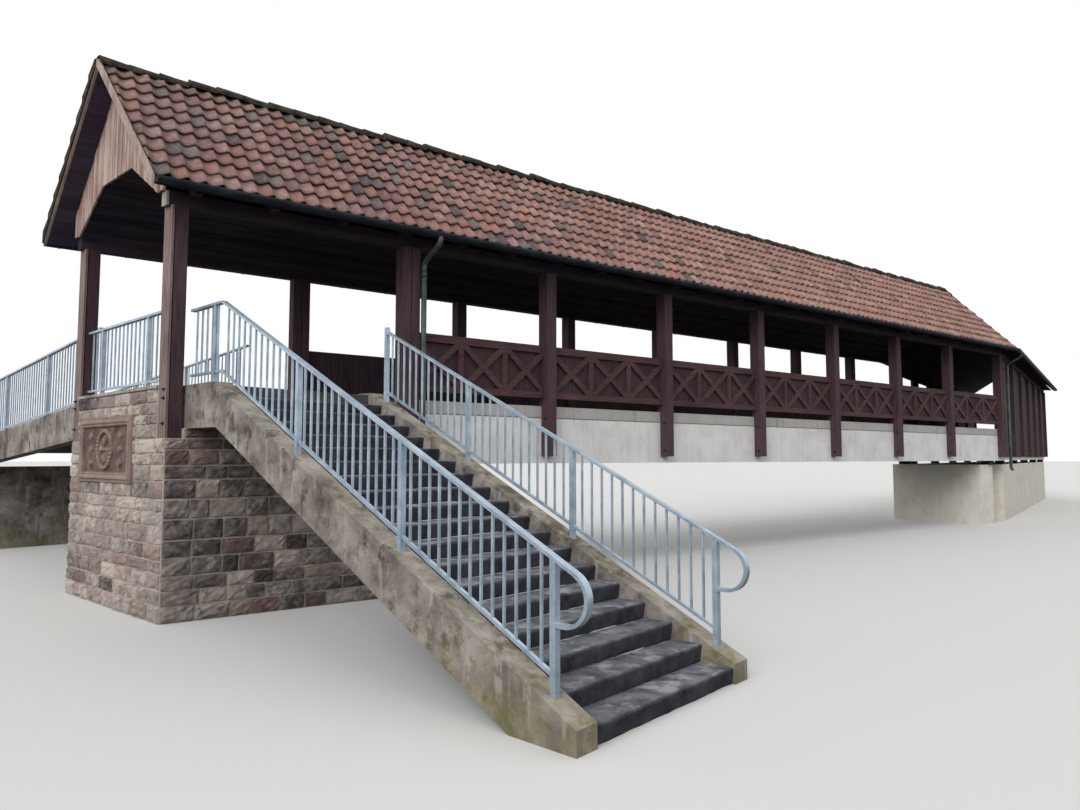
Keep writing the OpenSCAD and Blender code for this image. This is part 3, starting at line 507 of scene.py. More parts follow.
def brokenStone():
    # rock-faced sandstone blocks: each stone its own red, buff or grey brown, clouded and pitted
    material, tree = newMaterial("rockFacedSandstone")
    seen = patterns(tree, cloud=(111.1, 6.0, 0.65), damp=(769.2, 5.0, 0.5), pits=(26.32, 6.0, 0.7))
    stone = addNode(tree, "Attribute", {"attribute_name": "tone"}).outputs["Fac"]
    mixed = addNode(tree, "Math", {"operation": "MULTIPLY_ADD", 1: 1.35},
                    {0: seen["cloud"], 2: stone}).outputs[0]
    mixed = addNode(tree, "Math", {"operation": "SUBTRACT", 1: 0.18}, {0: mixed}).outputs[0]
    body = addNode(tree, "ValToRGB", {"stops": [
        (0.10, "#4a4545"), (0.30, "#736b69"), (0.46, "#948a85"), (0.62, "#b3a8a1"), (0.76, "#b09f98"),
        (0.92, "#d2c7bf")]}, {"Fac": mixed}).outputs[0]
    # one stone in six comes from a red bed
    bed = addNode(tree, "TexWhiteNoise", {"noise_dimensions": "1D"}, {"W": stone}).outputs["Value"]
    body = layOver(tree, body, "#8f6f69", bed, 0.80, 0.88, 0.5)
    body = layOver(tree, body, "#575250", seen["damp"], 0.5, 0.7, 0.4)
    closeMaterial(tree, {"Roughness": 0.9, "Specular IOR Level": 0.25}, {"Base Color": body},
                  height=seen["pits"], depth=0.010)
    return material


def wornTread():
    # dark split stone: risers painted near black in shade, treads painted lighter grey as lit from above,
    # with pale dried dust left in patches; its grain drawn 17 mm wide, so that it shows
    material, tree = newMaterial("wornTreadStone")
    seen = patterns(tree, cloud=(166.7, 6.0, 0.6), patch=(238.1, 7.0, 0.62), grain=(16.67, 5.0, 0.5))
    # tone is 0 on the riser and 1 on the tread: painted shade on the riser, painted light on the tread and
    # nosing
    top = addNode(tree, "Attribute", {"attribute_name": "tone"}).outputs["Fac"]
    shadedRiser = addNode(tree, "ValToRGB", {"stops": [(0.35, "#2b2c33"), (0.65, "#4b4c53")]},
                    {"Fac": seen["cloud"]}).outputs[0]
    tread = addNode(tree, "ValToRGB", {"stops": [(0.35, "#4c4f57"), (0.62, "#7b7c82")]},
                    {"Fac": seen["cloud"]}).outputs[0]
    body = addNode(tree, "Mix", {"data_type": "RGBA"}, {0: top, 6: shadedRiser, 7: tread}).outputs[2]
    dust = addNode(tree, "MapRange", {"From Min": 0.52, "From Max": 0.63, "To Max": 0.75},
                   {"Value": seen["patch"]}).outputs[0]
    dust = addNode(tree, "Math", {"operation": "MULTIPLY"}, {0: dust, 1: top}).outputs[0]
    body = layOver(tree, body, "#b3afb0", dust)
    closeMaterial(tree, {"Roughness": 0.85, "Specular IOR Level": 0.35}, {"Base Color": body},
                  height=seen["grain"], depth=0.005)
    return material


def mossyRidge():
    # old ridge tiles: sooty clay with cushions of green and yellow moss and pale lichen
    material, tree = newMaterial("mossyRidgeClay")
    seen = patterns(tree, cloud=(142.9, 6.0, 0.7), cushion=(33.33, 4.0, 0.5))
    body = addNode(tree, "ValToRGB", {"stops": [
        (0.30, "#2b2829"), (0.46, "#3d3838"), (0.55, "#4b4944"), (0.62, "#55543a"), (0.70, "#6f6c46"),
        (0.78, "#8a8576")]}, {"Fac": seen["cloud"]}).outputs[0]
    closeMaterial(tree, {"Roughness": 0.95, "Specular IOR Level": 0.2}, {"Base Color": body},
                  height=seen["cushion"], depth=0.02)
    return material


def mossyConcrete():
    # old cast concrete: clouded brown grey, pale lime runs, black algae, and yellow-green moss
    # that fades out one metre above the ground; upper faces are painted lighter than the sides, as lit from
    # above, between dark moss, and the pores are drawn 18 mm wide, so that they show
    material, tree = newMaterial("weatheredConcrete")
    seen = patterns(tree, cloud=(416.7, 7.0, 0.66), run=(90.91, 5.0, 0.5, (1.0, 1.0, 0.10)),
                    spots=(222.2, 8.0, 0.7), pores=(18.18, 5.0, 0.7))
    normal = addNode(tree, "NewGeometry").outputs["Normal"]
    up = addNode(tree, "SeparateXYZ", {}, {0: normal}).outputs["Z"]
    level = addNode(tree, "SeparateXYZ", {}, {0: seen["place"]}).outputs["Z"]
    # painted light and shade by the face's slope: sides drawn darker as in shade, upper faces lighter as
    # lit
    side = addNode(tree, "ValToRGB", {"stops": [
        (0.32, "#554e4b"), (0.45, "#847c76"), (0.58, "#a69d95"), (0.70, "#c0b8af")]},
                   {"Fac": seen["cloud"]}).outputs[0]
    top = addNode(tree, "ValToRGB", {"stops": [
        (0.36, "#6c6558"), (0.46, "#978f80"), (0.60, "#b7afa6"), (0.72, "#c9c2ba")]},
                  {"Fac": seen["cloud"]}).outputs[0]
    flat = addNode(tree, "MapRange", {"From Min": 0.3, "From Max": 0.6}, {"Value": up}).outputs[0]
    body = addNode(tree, "Mix", {"data_type": "RGBA"}, {0: flat, 6: side, 7: top}).outputs[2]
    algae = addNode(tree, "Math", {"operation": "MULTIPLY_ADD", 1: 0.4},
                    {0: seen["run"], 2: seen["spots"]}).outputs[0]
    low = addNode(tree, "MapRange", {"From Min": 1.0, "From Max": 0.1, "To Max": 0.35},
                  {"Value": level}).outputs[0]
    moss = addNode(tree, "Math", {"operation": "ADD"}, {0: seen["spots"], 1: low}).outputs[0]
    body = layOver(tree, body, "#c6bfb6", seen["run"], 0.55, 0.68, 0.7)
    body = layOver(tree, body, "#3f3b37", algae, 0.74, 0.86, 0.8)
    body = layOver(tree, body, "#8e8958", moss, 0.70, 0.92, 0.6)
    closeMaterial(tree, {"Roughness": 0.92, "Specular IOR Level": 0.25}, {"Base Color": body},
                  height=seen["pores"], depth=0.006)
    return material


metals = {
    # light and dark of the coat, metallic, roughness
    # the steel's pale blue is partly painted reflection of the sky over its grey
    "galvanisedSteel": ("#d2e3f0", "#a2b6c8", 0.5, 0.4),
    "coatedGutterSheet": ("#3a4a54", "#1b252c", 0.3, 0.45),
    "coatedPipeSheet": ("#6b7775", "#3b4546", 0.3, 0.5),
}


def zincCoat(name, light, dark, metallic, rough):
    # hot-dip coated or painted metal: pale spangles, drawn 18 mm wide so that they show, cloud a
    # dull grey sheen
    material, tree = newMaterial(name)
    seen = patterns(tree, cloud=(166.7, 3.0, 0.5))
    spangle = addNode(tree, "TexVoronoi", {"Scale": 1000 / 18.18},
                      {"Vector": seen["place"]}).outputs["Color"]
    mixed = addNode(tree, "Math", {"operation": "MULTIPLY_ADD", 1: 0.16},
                    {0: spangle, 2: seen["cloud"]}).outputs[0]
    body = addNode(tree, "ValToRGB", {"stops": [(0.4, dark), (0.85, light)]},
                   {"Fac": mixed}).outputs[0]
    closeMaterial(tree, {"Roughness": rough, "Metallic": metallic}, {"Base Color": body},
                  height=seen["cloud"], depth=0.001)
    return material


finish = {name: sawnTimber(name, *values) for name, values in timbers.items()}
finish.update({name: castStone(name, *values) for name, values in castings.items()})
finish.update({name: zincCoat(name, *values) for name, values in metals.items()})
finish["clay"] = tileClay
finish["ridge"] = mossyRidge()
finish["concrete"] = mossyConcrete()
finish["stone"] = brokenStone()
finish["tread"] = wornTread()
finish["beam"] = washedBeam()
finish["relief"] = carvedStone()
# what the frame's own solids wear: by slot, and for a few nodes by the node's name
slotLook = {"roof_tile": "clay", "ridge_tile": "ridge", "concrete_grey": "concrete", "tread_stone": "tread",
            "galvanised_steel": "galvanisedSteel", "gutter_metal": "coatedGutterSheet",
            "pipe_metal": "coatedPipeSheet", "bearing_rubber": "bearingRubber", "relief_stone": "relief"}
nodeLook = {"bridge_beams": "beam", "purlins": "shadedEavesBeam", "rafters": "shadedEavesBeam",
            "bend_pier": "creamWashedPier", "far_abutment": "creamWashedPier"}
for nodeName, solid in nodes.items():
    for number, slot in enumerate(solid.data.materials):
        slotName = slot.name.split(".")[0]
        look = nodeLook.get(nodeName, slotLook.get(slotName, slotName))
        solid.data.materials[number] = finish[look]
print("frame finished in", len(finish), "materials")


def joined(parts):
    # the point lists, the face lists and any tones of several bodies, each kind as one list
    start = np.cumsum([0] + [len(part[0]) for part in parts[:-1]])
    moved = [(part[0], part[1] + first, *part[2:]) for part, first in zip(parts, start)]
    return [np.concatenate(kind) for kind in zip(*moved)]


carpentry = {
    "gap": 0.006,             # open joint between boards
    "soffitTop": 0.085,       # soffit boards below the roof line, upper and lower face
    "soffitLow": 0.112,
    "soffitRows": 13,         # soffit boards on each slope
    "eavesBoard": (0.028, 0.002),   # closing board, inner and outer face from the roof's edge
    "eavesTop": 0.035,        # its top below the roof line
    "ceilingFlat": 0.480,     # half width of the flat middle of the ceiling
    "ceilingRows": 8,         # boards in the flat middle and in each slope beside it
    "ceilingThick": 0.025,
    "ledge": 0.005,           # step from one ceiling board to the next
    "gableBoards": 36,        # upright boards across one gable
    "gableBack": 0.016,       # their faces past the ends of the eaves beams
    "gableFace": 0.040,
    "cornerWide": 0.214,      # width of a corner post along the gable
    "cornerBoard": (0.0, 0.028),    # its outer and inner timber, back from the gable line
    "cornerPost": (0.040, 0.188),
}
eavesBeam = {
    "inner": 0.160,           # faces inside the posts' outer face
    "outer": 0.040,
    "cap": (0.173, 0.004),    # painted end cap below the beam's top, foot and head
    "capFace": (0.006, -0.020),     # its faces past the end of the beam
    "capSide": 0.004,         # and beyond the beam's sides
}
ceilingLow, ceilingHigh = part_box("ceiling")[0].z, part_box("ceiling")[1].z - carpentry["ceilingThick"]
beamIn, beamOut = halfWidth - eavesBeam["inner"], halfWidth - eavesBeam["outer"]
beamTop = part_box("purlins")[1].z
farRun = farLength - bridge["verge"]


def pairsOf(edges, gap):
    # neighbouring edges taken two by two, half a gap cut off each end; shape n, 1, 2, 1
    return np.stack([edges[:-1] + gap / 2, edges[1:] - gap / 2], 1)[:, None, :, None]


def pastGable(y, far, past):
    # a place so far outside the gable line at y: first gable -y tan skew - past / cos skew, the
    # far one square to its run
    if far:
        return farRun + past + np.zeros_like(y)
    return -y * skewTan - past / math.cos(bridge["skew"])


def runEnds(y, far, past):
    # ends of a lengthwise board at y: first run from the gable to the mitre at
    # bendX - y tan(bend/2), far run from y tan(bend/2) to its gable
    if far:
        return np.concatenate([y * mitreTan + 0.002, pastGable(y, far, past)], -1)
    return np.concatenate([pastGable(y, far, past), bendX - y * mitreTan], -1)


def bothRuns(make):
    # the same boards for the first run and, turned into place, for the far run
    return np.concatenate([make(False), intoFar(make(True))])


def soffitBoards(far):
    # z = ridge - rise |y| - depth, with a closing board along the eaves
    edges = np.linspace(0.004, eaveY - 0.002, carpentry["soffitRows"] + 1)
    y = pairsOf(edges, carpentry["gap"])
    closing = eaveY - np.reshape(carpentry["eavesBoard"], (1, 1, 2, 1))
    y = np.concatenate([y, -y, closing, -closing])
    depth = np.reshape([carpentry["soffitLow"], carpentry["soffitTop"]], (1, 2, 1, 1))
    depth = np.repeat(depth, len(y), axis=0)
    depth[-2:, 1] = carpentry["eavesTop"]
    z = ridgeZ - bridge["roofRise"] * abs(y) - depth
    return blocks(runEnds(y, far, bridge["verge"] - 0.003), y, z)


def ceilingBoards(far):
    # flat middle, then sloping down to the eaves beams: z follows |y| in a straight line
    flat, rows = carpentry["ceilingFlat"], carpentry["ceilingRows"]
    middle = pairsOf(np.linspace(-flat, flat, rows + 1), carpentry["gap"])
    slope = pairsOf(np.linspace(flat, beamIn, rows + 1), carpentry["gap"])
    y = np.concatenate([middle, slope, -slope])
    low = np.interp(abs(y), [flat, beamIn], [ceilingHigh, ceilingLow])
    low = low + carpentry["ledge"] * np.array([0.0, 1.0])[:, None]
    z = np.concatenate([low, low + carpentry["ceilingThick"] - carpentry["ledge"]], 1)
    return blocks(runEnds(y, far, bridge["beamEnd"]), y, z)


def gableBoards(far):
    # upright boards: foot on the ceiling line or the eaves beam, head under the soffit
    random = np.random.default_rng(4 + far)
    y = pairsOf(np.linspace(-beamOut, beamOut, carpentry["gableBoards"] + 1), carpentry["gap"])
    low = np.interp(abs(y), [carpentry["ceilingFlat"], beamIn, beamIn + 0.001, beamOut],
                    [ceilingHigh, ceilingLow, beamTop, beamTop])
    high = ridgeZ - bridge["roofRise"] * abs(y) - carpentry["soffitLow"] - 0.001
    z = np.concatenate([low, high], 1)
    face = carpentry["gableFace"] + random.uniform(-0.006, 0.004, (len(y), 1, 1, 1))
    past = bridge["beamEnd"] + np.concatenate([np.full_like(face, carpentry["gableBack"]), face], -1)
    return blocks(pastGable(y, far, past), y, z)


def vergeTiles(far):
    # tiles that lap over the verge board, one wedge a course: z = ridge - rise |y| + top, the
    # top falling from the lip to the next course; north slope in front, south slope at the far end
    random = np.random.default_rng(8 + far)
    reach = eaveY - tiles["ridgeGap"] / math.hypot(1, bridge["roofRise"])
    course = eaveY - reach * np.arange(tiles["courses"] + 1) / tiles["courses"]
    slope = np.stack([course[:-1], course[1:] - tiles["vergeTuck"]], 1)
    y = (-1 if far else 1) * slope[:, None, :, None]
    top = np.array(tiles["vergeTop"]) + random.normal(0, tiles["jitter"], (len(y), 1))
    lift = np.stack([np.full_like(top, -tiles["vergeHook"]), top], 1)
    z = ridgeZ - bridge["roofRise"] * abs(y) + lift[..., None]
    past = bridge["verge"] + np.array([-tiles["vergeIn"], tiles["vergeOut"]])
    return blocks(pastGable(y, far, past), y, z)


def cornerTimbers(depth):
    # one timber of each corner post of the first gable, between two depths behind its line
    low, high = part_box("gable_posts")
    length, wide = 2 * halfWidth / math.cos(bridge["skew"]), carpentry["cornerWide"]
    y = np.array([[0.0, wide], [length - wide, length]])[:, None, :, None]
    z = np.array([low.z, high.z])[None, :, None, None]
    return intoSkew(blocks(np.array(depth), y, z))


addBlocks("soffit_boards", bothRuns(soffitBoards), finish["paintedShadeSoffitBoard"], seed=11)
addBlocks("ceiling_boards", bothRuns(ceilingBoards), finish["ceiling_timber"], cad=("ceiling",), seed=12)
addBlocks("gable_planks", bothRuns(gableBoards), finish["gable_timber"], cad=("gable_boards",), seed=13,
          spread=0.09)
addBlocks("corner_posts", cornerTimbers(carpentry["cornerPost"]), finish["post_timber"],
          cad=("gable_posts",), seed=14, spread=0.02)
addBlocks("corner_boards", cornerTimbers(carpentry["cornerBoard"]), finish["bleachedPostBoard"], seed=17,
          spread=0.02)
# the verge tiles wear the dark ridge clay, darker than the roof's tiles: painted shade on the verge's
# shadowed edge
addBlocks("tiles_verge", bothRuns(vergeTiles), finish["ridge"], seed=18)
print("boarding fixed")

cladding = {
    "boards": 20,          # upright boards in one bay of the closed run
    "thick": 0.012,
    "joint": 0.006,
    "bay": 2.6,
    "bays": 6,
    "post": 0.188,
    "postAt": -0.025,      # near face of a post from the start of its bay
    "firstAt": 0.159,      # first board from the mitre line
    "margin": 0.26,        # wall left on each side of a window
    "window": 0.80,
}
wallFace = halfWidth - 0.106        # outer face of the far run's walls


def cladBoards(side):
    # boards between the posts of the far run; on the north side those at a window stop
    # below it and go on above it
    bay = np.arange(cladding["bays"])
    start = bay * cladding["bay"] + cladding["postAt"] + cladding["post"]
    start[0] = side * halfWidth * mitreTan + cladding["firstAt"]
    end = (bay + 1) * cladding["bay"] + cladding["postAt"]
    share = np.linspace(0, 1, cladding["boards"] + 1)
    edges = start[:, None] + (end - start)[:, None] * share
    left = edges[:, :-1].ravel() + cladding["joint"] / 2
    right = edges[:, 1:].ravel() - cladding["joint"] / 2
    low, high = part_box("far_wall_north")[0].z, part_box("far_wall_north")[1].z
    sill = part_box("railing_north")[1].z
    middle = (left + right) / 2
    bayOf = np.repeat(bay, cladding["boards"])
    inside = np.minimum(middle - start[bayOf], end[bayOf] - middle)
    glazed = (inside > cladding["margin"]) & (side > 0)
    above = np.count_nonzero(glazed)
    bottom = np.concatenate([np.full(len(left), low), np.full(above, sill + cladding["window"])])
    top = np.concatenate([np.where(glazed, sill, high), np.full(above, high)])
    left, right = np.concatenate([left, left[glazed]]), np.concatenate([right, right[glazed]])
    x = np.stack([left, right], 1)[:, None, None, :]
    face = wallFace + np.array([0.0, cladding["thick"]])
    z = np.stack([bottom, top], 1)[:, :, None, None]
    return intoFar(blocks(x, side * face[None, None, :, None], z))


farCladding = np.concatenate([cladBoards(-1), cladBoards(1)])
addBlocks("far_cladding", farCladding, finish["board_timber"], seed=15)


def beamCap():
    # painted cap over the sawn end of the south eaves beam
    y = np.reshape([-beamOut - eavesBeam["capSide"], -beamIn + eavesBeam["capSide"]], (1, 1, 2, 1))
    z = beamTop - np.reshape(eavesBeam["cap"], (1, 2, 1, 1))
    return blocks(pastGable(y, False, bridge["beamEnd"] + np.array(eavesBeam["capFace"])), y, z)


addBlocks("beam_cap", beamCap(), finish["limewashedBeamEnd"], seed=16)

ironwork = {
    "strapStep": 0.85,      # distance between gutter straps
    "strapWide": 0.026,
    "strapThick": 0.005,
    "strapRound": (180, 372),   # from the roof's edge round to the outer lip, in degrees
    "strapIn": (0.15, 0.2),     # first and last strap inside the ends of the gutter
    "washer": 0.026,        # radius of a washer, a nut and a bolt's thread
    "nut": 0.015,
    "thread": 0.008,
    "reach": 0.034,         # how far a bolt stands out
    "sides": 8,
    "cornerAt": 0.06,       # bolts of a corner post from its edge
    "cornerHigh": (2.63, 2.53, 2.24),
    "footHigh": (1.98, 2.46),   # bolts in the feet of the other posts
    "postStart": 5.411,     # first post after the gable's corner, and how they follow
    "postStep": 2.64,
    "posts": 6,
}


def gutterStraps(far):
    # flat strap carried round the gutter's underside: r from the gutter's centre, a from the
    # roof edge round to its outer lip
    radius = bridge["gutter"]
    centreY, centreZ = eaveY + radius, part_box("gutters")[0].z + radius
    a = np.radians(np.linspace(*ironwork["strapRound"], 12))
    section = np.array([[0, 0], [1, 0], [1, 1], [0, 1]])
    side = np.array([-1.0, 1.0])
    inset, outset = ironwork["strapIn"]
    first = side * eaveY * (mitreTan if far else -skewTan) + (inset if far else inset - vergeX)
    last = (farLength if far else bendX - eaveY * mitreTan) - outset
    count = int((last - first.max()) / ironwork["strapStep"]) + 1
    x = first[:, None] + ironwork["strapStep"] * np.arange(count)
    r = radius + 0.0005 + ironwork["strapThick"] * section[:, 1]
    y = side[:, None, None, None] * (centreY + r * np.cos(a)[:, None])
    z = centreZ + r * np.sin(a)[:, None]
    wide = x[:, :, None, None] + ironwork["strapWide"] * section[:, 0]
    points = np.stack(np.broadcast_arrays(wide, y, z), -1).reshape(-1, 3)
    corners = 4 * len(a)
    ends = np.array([[3, 2, 1, 0], [corners - 4, corners - 3, corners - 2, corners - 1]])
    patch = np.concatenate([tubeFaces(len(a), 4), ends])
    faces = facesOfAll(patch, x.size, corners)
    half = len(faces) // 2                  # the straps of the other side face the other way
    faces[half:] = faces[half:, ::-1]
    return (intoFar(points) if far else points), faces


straps = joined([gutterStraps(False), gutterStraps(True)])
addPiece("gutter_straps", *straps, finish["coatedGutterSheet"])

pipes = {
    "radius": 0.038,
    "sides": 12,
    "outlet": 0.056,       # mouth under the gutter
    "drop": 0.09,          # height of the outlet
    "neck": 0.30,          # height of the swan neck
    "jog": 0.06,           # the mouth stands so far along the gutter from the pipe
    "sleeve": 0.004,       # how far a sleeve stands out
    "sleeveAt": (0.102, 0.16),   # its ends below the neck
    "nearLow": 2.005,      # foot of the first pipe
    "farX": 0.52,          # far pipe from the bend
    "farLow": 1.59,        # height where the far pipe's shoe turns out
    "shoe": 0.13,          # radius of that turn
    "turn": 55,            # its angle in degrees
    "bracket": 0.019,      # half width of a bracket
    "bracketEnds": (0.106, -0.019),   # its ends from the posts' outer face
    "bracketLow": 0.12,    # lower one above the posts' foot
    "bracketHigh": 4.44,
}


def rainPipe(far):
    # tube round a path: on the swan neck x and y pass from the gutter to the posts' face by
    # s^2 (3 - 2 s), s the share of its height; the shoe is an arc; both ends are drawn to a point
    size = pipes["radius"]
    x = pipes["farX"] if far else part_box("downpipes")[0].x + size
    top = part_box("gutters")[0].z + bridge["gutter"]
    neckTop, neckLow = top - pipes["drop"], top - pipes["drop"] - pipes["neck"]
    low = pipes["farLow"] if far else pipes["nearLow"]
    high, foot = pipes["sleeveAt"]
    # each ring round the sleeve: depth below the neck and share of its thickness
    rings = np.array([[high - 0.002, 0], [high, 1], [foot, 1], [foot + 0.002, 0], [foot + 0.02, 0]])
    neck = np.linspace(neckTop, neckLow, 14)
    z = np.concatenate([[top, top - 0.05], neck, neckLow - rings[:, 0], [low + 0.01, low]])
    radius = np.full(len(z), size)
    radius[0] = pipes["outlet"]
    radius[2 + len(neck):][:len(rings)] += pipes["sleeve"] * rings[:, 1]
    s = np.clip((neckTop - z) / pipes["neck"], 0, 1)
    s = s * s * (3 - 2 * s)
    gutterAt = eaveY + bridge["gutter"]
    out = gutterAt + s * (halfWidth + size - gutterAt)
    if far:
        a = np.radians(np.linspace(0, pipes["turn"], 7)[1:])
        z = np.append(z, pipes["farLow"] - pipes["shoe"] * np.sin(a))
        out = np.append(out, out[-1] + pipes["shoe"] * (1 - np.cos(a)))
        s, radius = np.append(s, np.ones(len(a))), np.append(radius, np.full(len(a), size))
    path = np.stack([x + pipes["jog"] * (1 - s), -out, z], -1)
    heading = np.gradient(path, axis=0)
    heading /= np.linalg.norm(heading, axis=1, keepdims=True)
    across = np.cross(heading, (1.0, 0.0, 0.0))
    path, across = path[[0, *range(len(path)), -1]], across[[0, *range(len(across)), -1]]
    radius = np.concatenate([[0], radius, [0]])
    t = np.linspace(0, 2 * np.pi, pipes["sides"] + 1)[:-1, None]
    ring = np.cos(t) * np.array([1.0, 0, 0]) + np.sin(t) * across[:, None]
    points = (path[:, None] + radius[:, None, None] * ring).reshape(-1, 3)
    faces = tubeFaces(len(path), pipes["sides"])
    return (intoFar(points) if far else points), faces


bothPipes = joined([rainPipe(False), rainPipe(True)])
addPiece("rain_pipes", *bothPipes, finish["coatedPipeSheet"], cad=("downpipes",), smooth=True)


def pipeBrackets():
    # two spacers between the far pipe and the boards behind it
    half = pipes["bracket"]
    z = np.reshape([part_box("posts_south")[0].z + pipes["bracketLow"], pipes["bracketHigh"]], (2, 1, 1, 1))
    x = pipes["farX"] + np.array([-half, half])
    y = np.array(pipes["bracketEnds"])[:, None] - halfWidth
    return intoFar(blocks(x, y, z + np.array([0, 2 * half])[:, None, None]))


addBlocks("pipe_brackets", pipeBrackets(), finish["coatedPipeSheet"], seed=19)


def bolts(centre, axis):
    # washer, nut and thread turned round the axis: radius over distance out, closed to a point
    # at the end
    washer, nut, thread = ironwork["washer"], ironwork["nut"], ironwork["thread"]
    profile = np.array([[washer, -0.001], [washer, 0.004], [nut, 0.0042], [nut, 0.016],
                        [thread, 0.0162], [thread, ironwork["reach"]], [0.0, ironwork["reach"]]])
    t = np.linspace(0, 2 * np.pi, ironwork["sides"] + 1)[:-1]
    upward = np.array([0, 0, 1.0])
    sideways = np.cross(upward, axis)
    ring = np.cos(t)[None, :, None] * sideways[:, None, :] + np.sin(t)[None, :, None] * upward
    points = (centre[:, None, None, :] + profile[None, :, 1, None, None] * axis[:, None, None, :]
              + profile[None, :, 0, None, None] * ring[:, None, :, :])
    patch = tubeFaces(len(profile), ironwork["sides"])
    return points.reshape(-1, 3), facesOfAll(patch, len(centre), len(profile) * ironwork["sides"])


def boltPlaces():
    # in the west face of each corner post, and in both sides of the other posts' feet
    length, edge = 2 * halfWidth / math.cos(bridge["skew"]), ironwork["cornerAt"]
    y, z = np.meshgrid([edge, length - edge], ironwork["cornerHigh"], indexing="ij")
    corner = np.stack([np.zeros_like(y), y, z], -1).reshape(-1, 3)
    out = np.array([-math.cos(bridge["skew"]), -math.sin(bridge["skew"]), 0.0])
    post = gableX + ironwork["postStart"] + ironwork["postStep"] * np.arange(ironwork["posts"])
    x, side, level, y = np.meshgrid(post, [0.0, 1.0], ironwork["footHigh"], [-1, 1], indexing="ij")
    foot = np.stack([x + side * cladding["post"], y * (halfWidth - 0.05), level], -1).reshape(-1, 3)
    away = np.stack([2 * side - 1, np.zeros_like(side), np.zeros_like(side)], -1).reshape(-1, 3)
    outwards = np.concatenate([np.tile(out, (len(corner), 1)), away])
    return np.concatenate([intoSkew(corner), foot]), outwards


addPiece("bolts", *bolts(*boltPlaces()), finish["coatedGutterSheet"])
print("cladding, straps, pipes and bolts fixed")

masonry = {
    "proud": 0.020,          # face of a stone in front of the joint
    "rough": 0.015,          # broken face
    "joint": 0.018,
    "shortest": 0.24,        # stone lengths
    "longest": 0.56,
    "uneven": 0.22,          # how much the courses differ in height
    "sunk": 0.002,           # rims of the stones behind the wall's face
    "ledge": 0.33,           # platform's edge inside the wall's end
    "quoin": 0.222,          # gable stones beside the corner posts start here
    "panel": (0.875, 2.615, 1.55, 2.36),   # place of the carved panel along and up the gable wall
}


def coursedStones(origin, along, outward, bands, tone, seed, size=1.0, panel=None):
    # bands: from z, to z, courses, first and last place along the wall. A stone is a patch of
    # p, q in -1..1 with height proud (1 - max(|p|,|q|)^6) + broken face, its rim in the joint;
    # behind the carved panel the stones are cut back to the wall
    random = np.random.default_rng(seed)
    meanLength = size * (masonry["shortest"] + masonry["longest"]) / 2
    stones = []
    for low, high, courses, first, last in bands:
        share = 1 + random.uniform(-masonry["uneven"], masonry["uneven"], courses)
        level = low + np.concatenate([[0], np.cumsum(share) / share.sum()]) * (high - low)
        for below, above in zip(level[:-1], level[1:]):
            count = int(round((last - first) / meanLength))
            length = random.uniform(masonry["shortest"], masonry["longest"], count)
            edge = first + np.concatenate([[0], np.cumsum(length) / length.sum()]) * (last - first)
            stones.append(np.stack([edge[:-1], edge[1:], np.full(count, below), np.full(count, above)], 1))
    stones = np.concatenate(stones)[:, :, None, None]
    left, right, foot, head = stones[:, 0], stones[:, 1], stones[:, 2], stones[:, 3]
    p = np.array([-1, -0.95, -0.72, -0.3, 0.1, 0.5, 0.8, 0.95, 1])
    q = np.array([-1, -0.9, -0.45, 0.1, 0.55, 0.9, 1])
    pp, qq = np.meshgrid(p, q)
    reach = np.maximum(abs(pp), abs(qq))
    inner = reach < 0.99
    shape = (len(stones),) + pp.shape
    halfLong, halfHigh = (right - left - masonry["joint"]) / 2, (head - foot - masonry["joint"]) / 2
    u = (left + right) / 2 + pp * halfLong + inner * random.normal(0, 0.003, shape)
    w = (foot + head) / 2 + qq * halfHigh + inner * random.normal(0, 0.003, shape)
    w = np.maximum(w, 0.001)
    bulge = masonry["proud"] * random.uniform(0.45, 1.1, (len(stones), 1, 1))
    broken = 0.003 + random.uniform(0, masonry["rough"], shape)
    h = np.where(inner, bulge * (1 - reach ** 6) + broken, -masonry["sunk"])
    if panel:
        near, far, low, high = panel
        h = np.where((u > near) & (u < far) & (w > low) & (w < high), -masonry["sunk"], h)
    points = (np.array(origin) + u[..., None] * np.array(along) + w[..., None] * np.array([0, 0, 1.0])
              + h[..., None] * np.array(outward))
    faces = facesOfAll(quads(len(q), len(p)), len(stones), pp.size)
    if np.dot(np.cross(along, (0, 0, 1)), outward) < 0:
        faces = faces[:, ::-1]
    shade = np.broadcast_to((tone + random.normal(0, 0.16, len(stones)))[:, None, None], shape)
    return points.reshape(-1, 3), faces, shade.ravel()


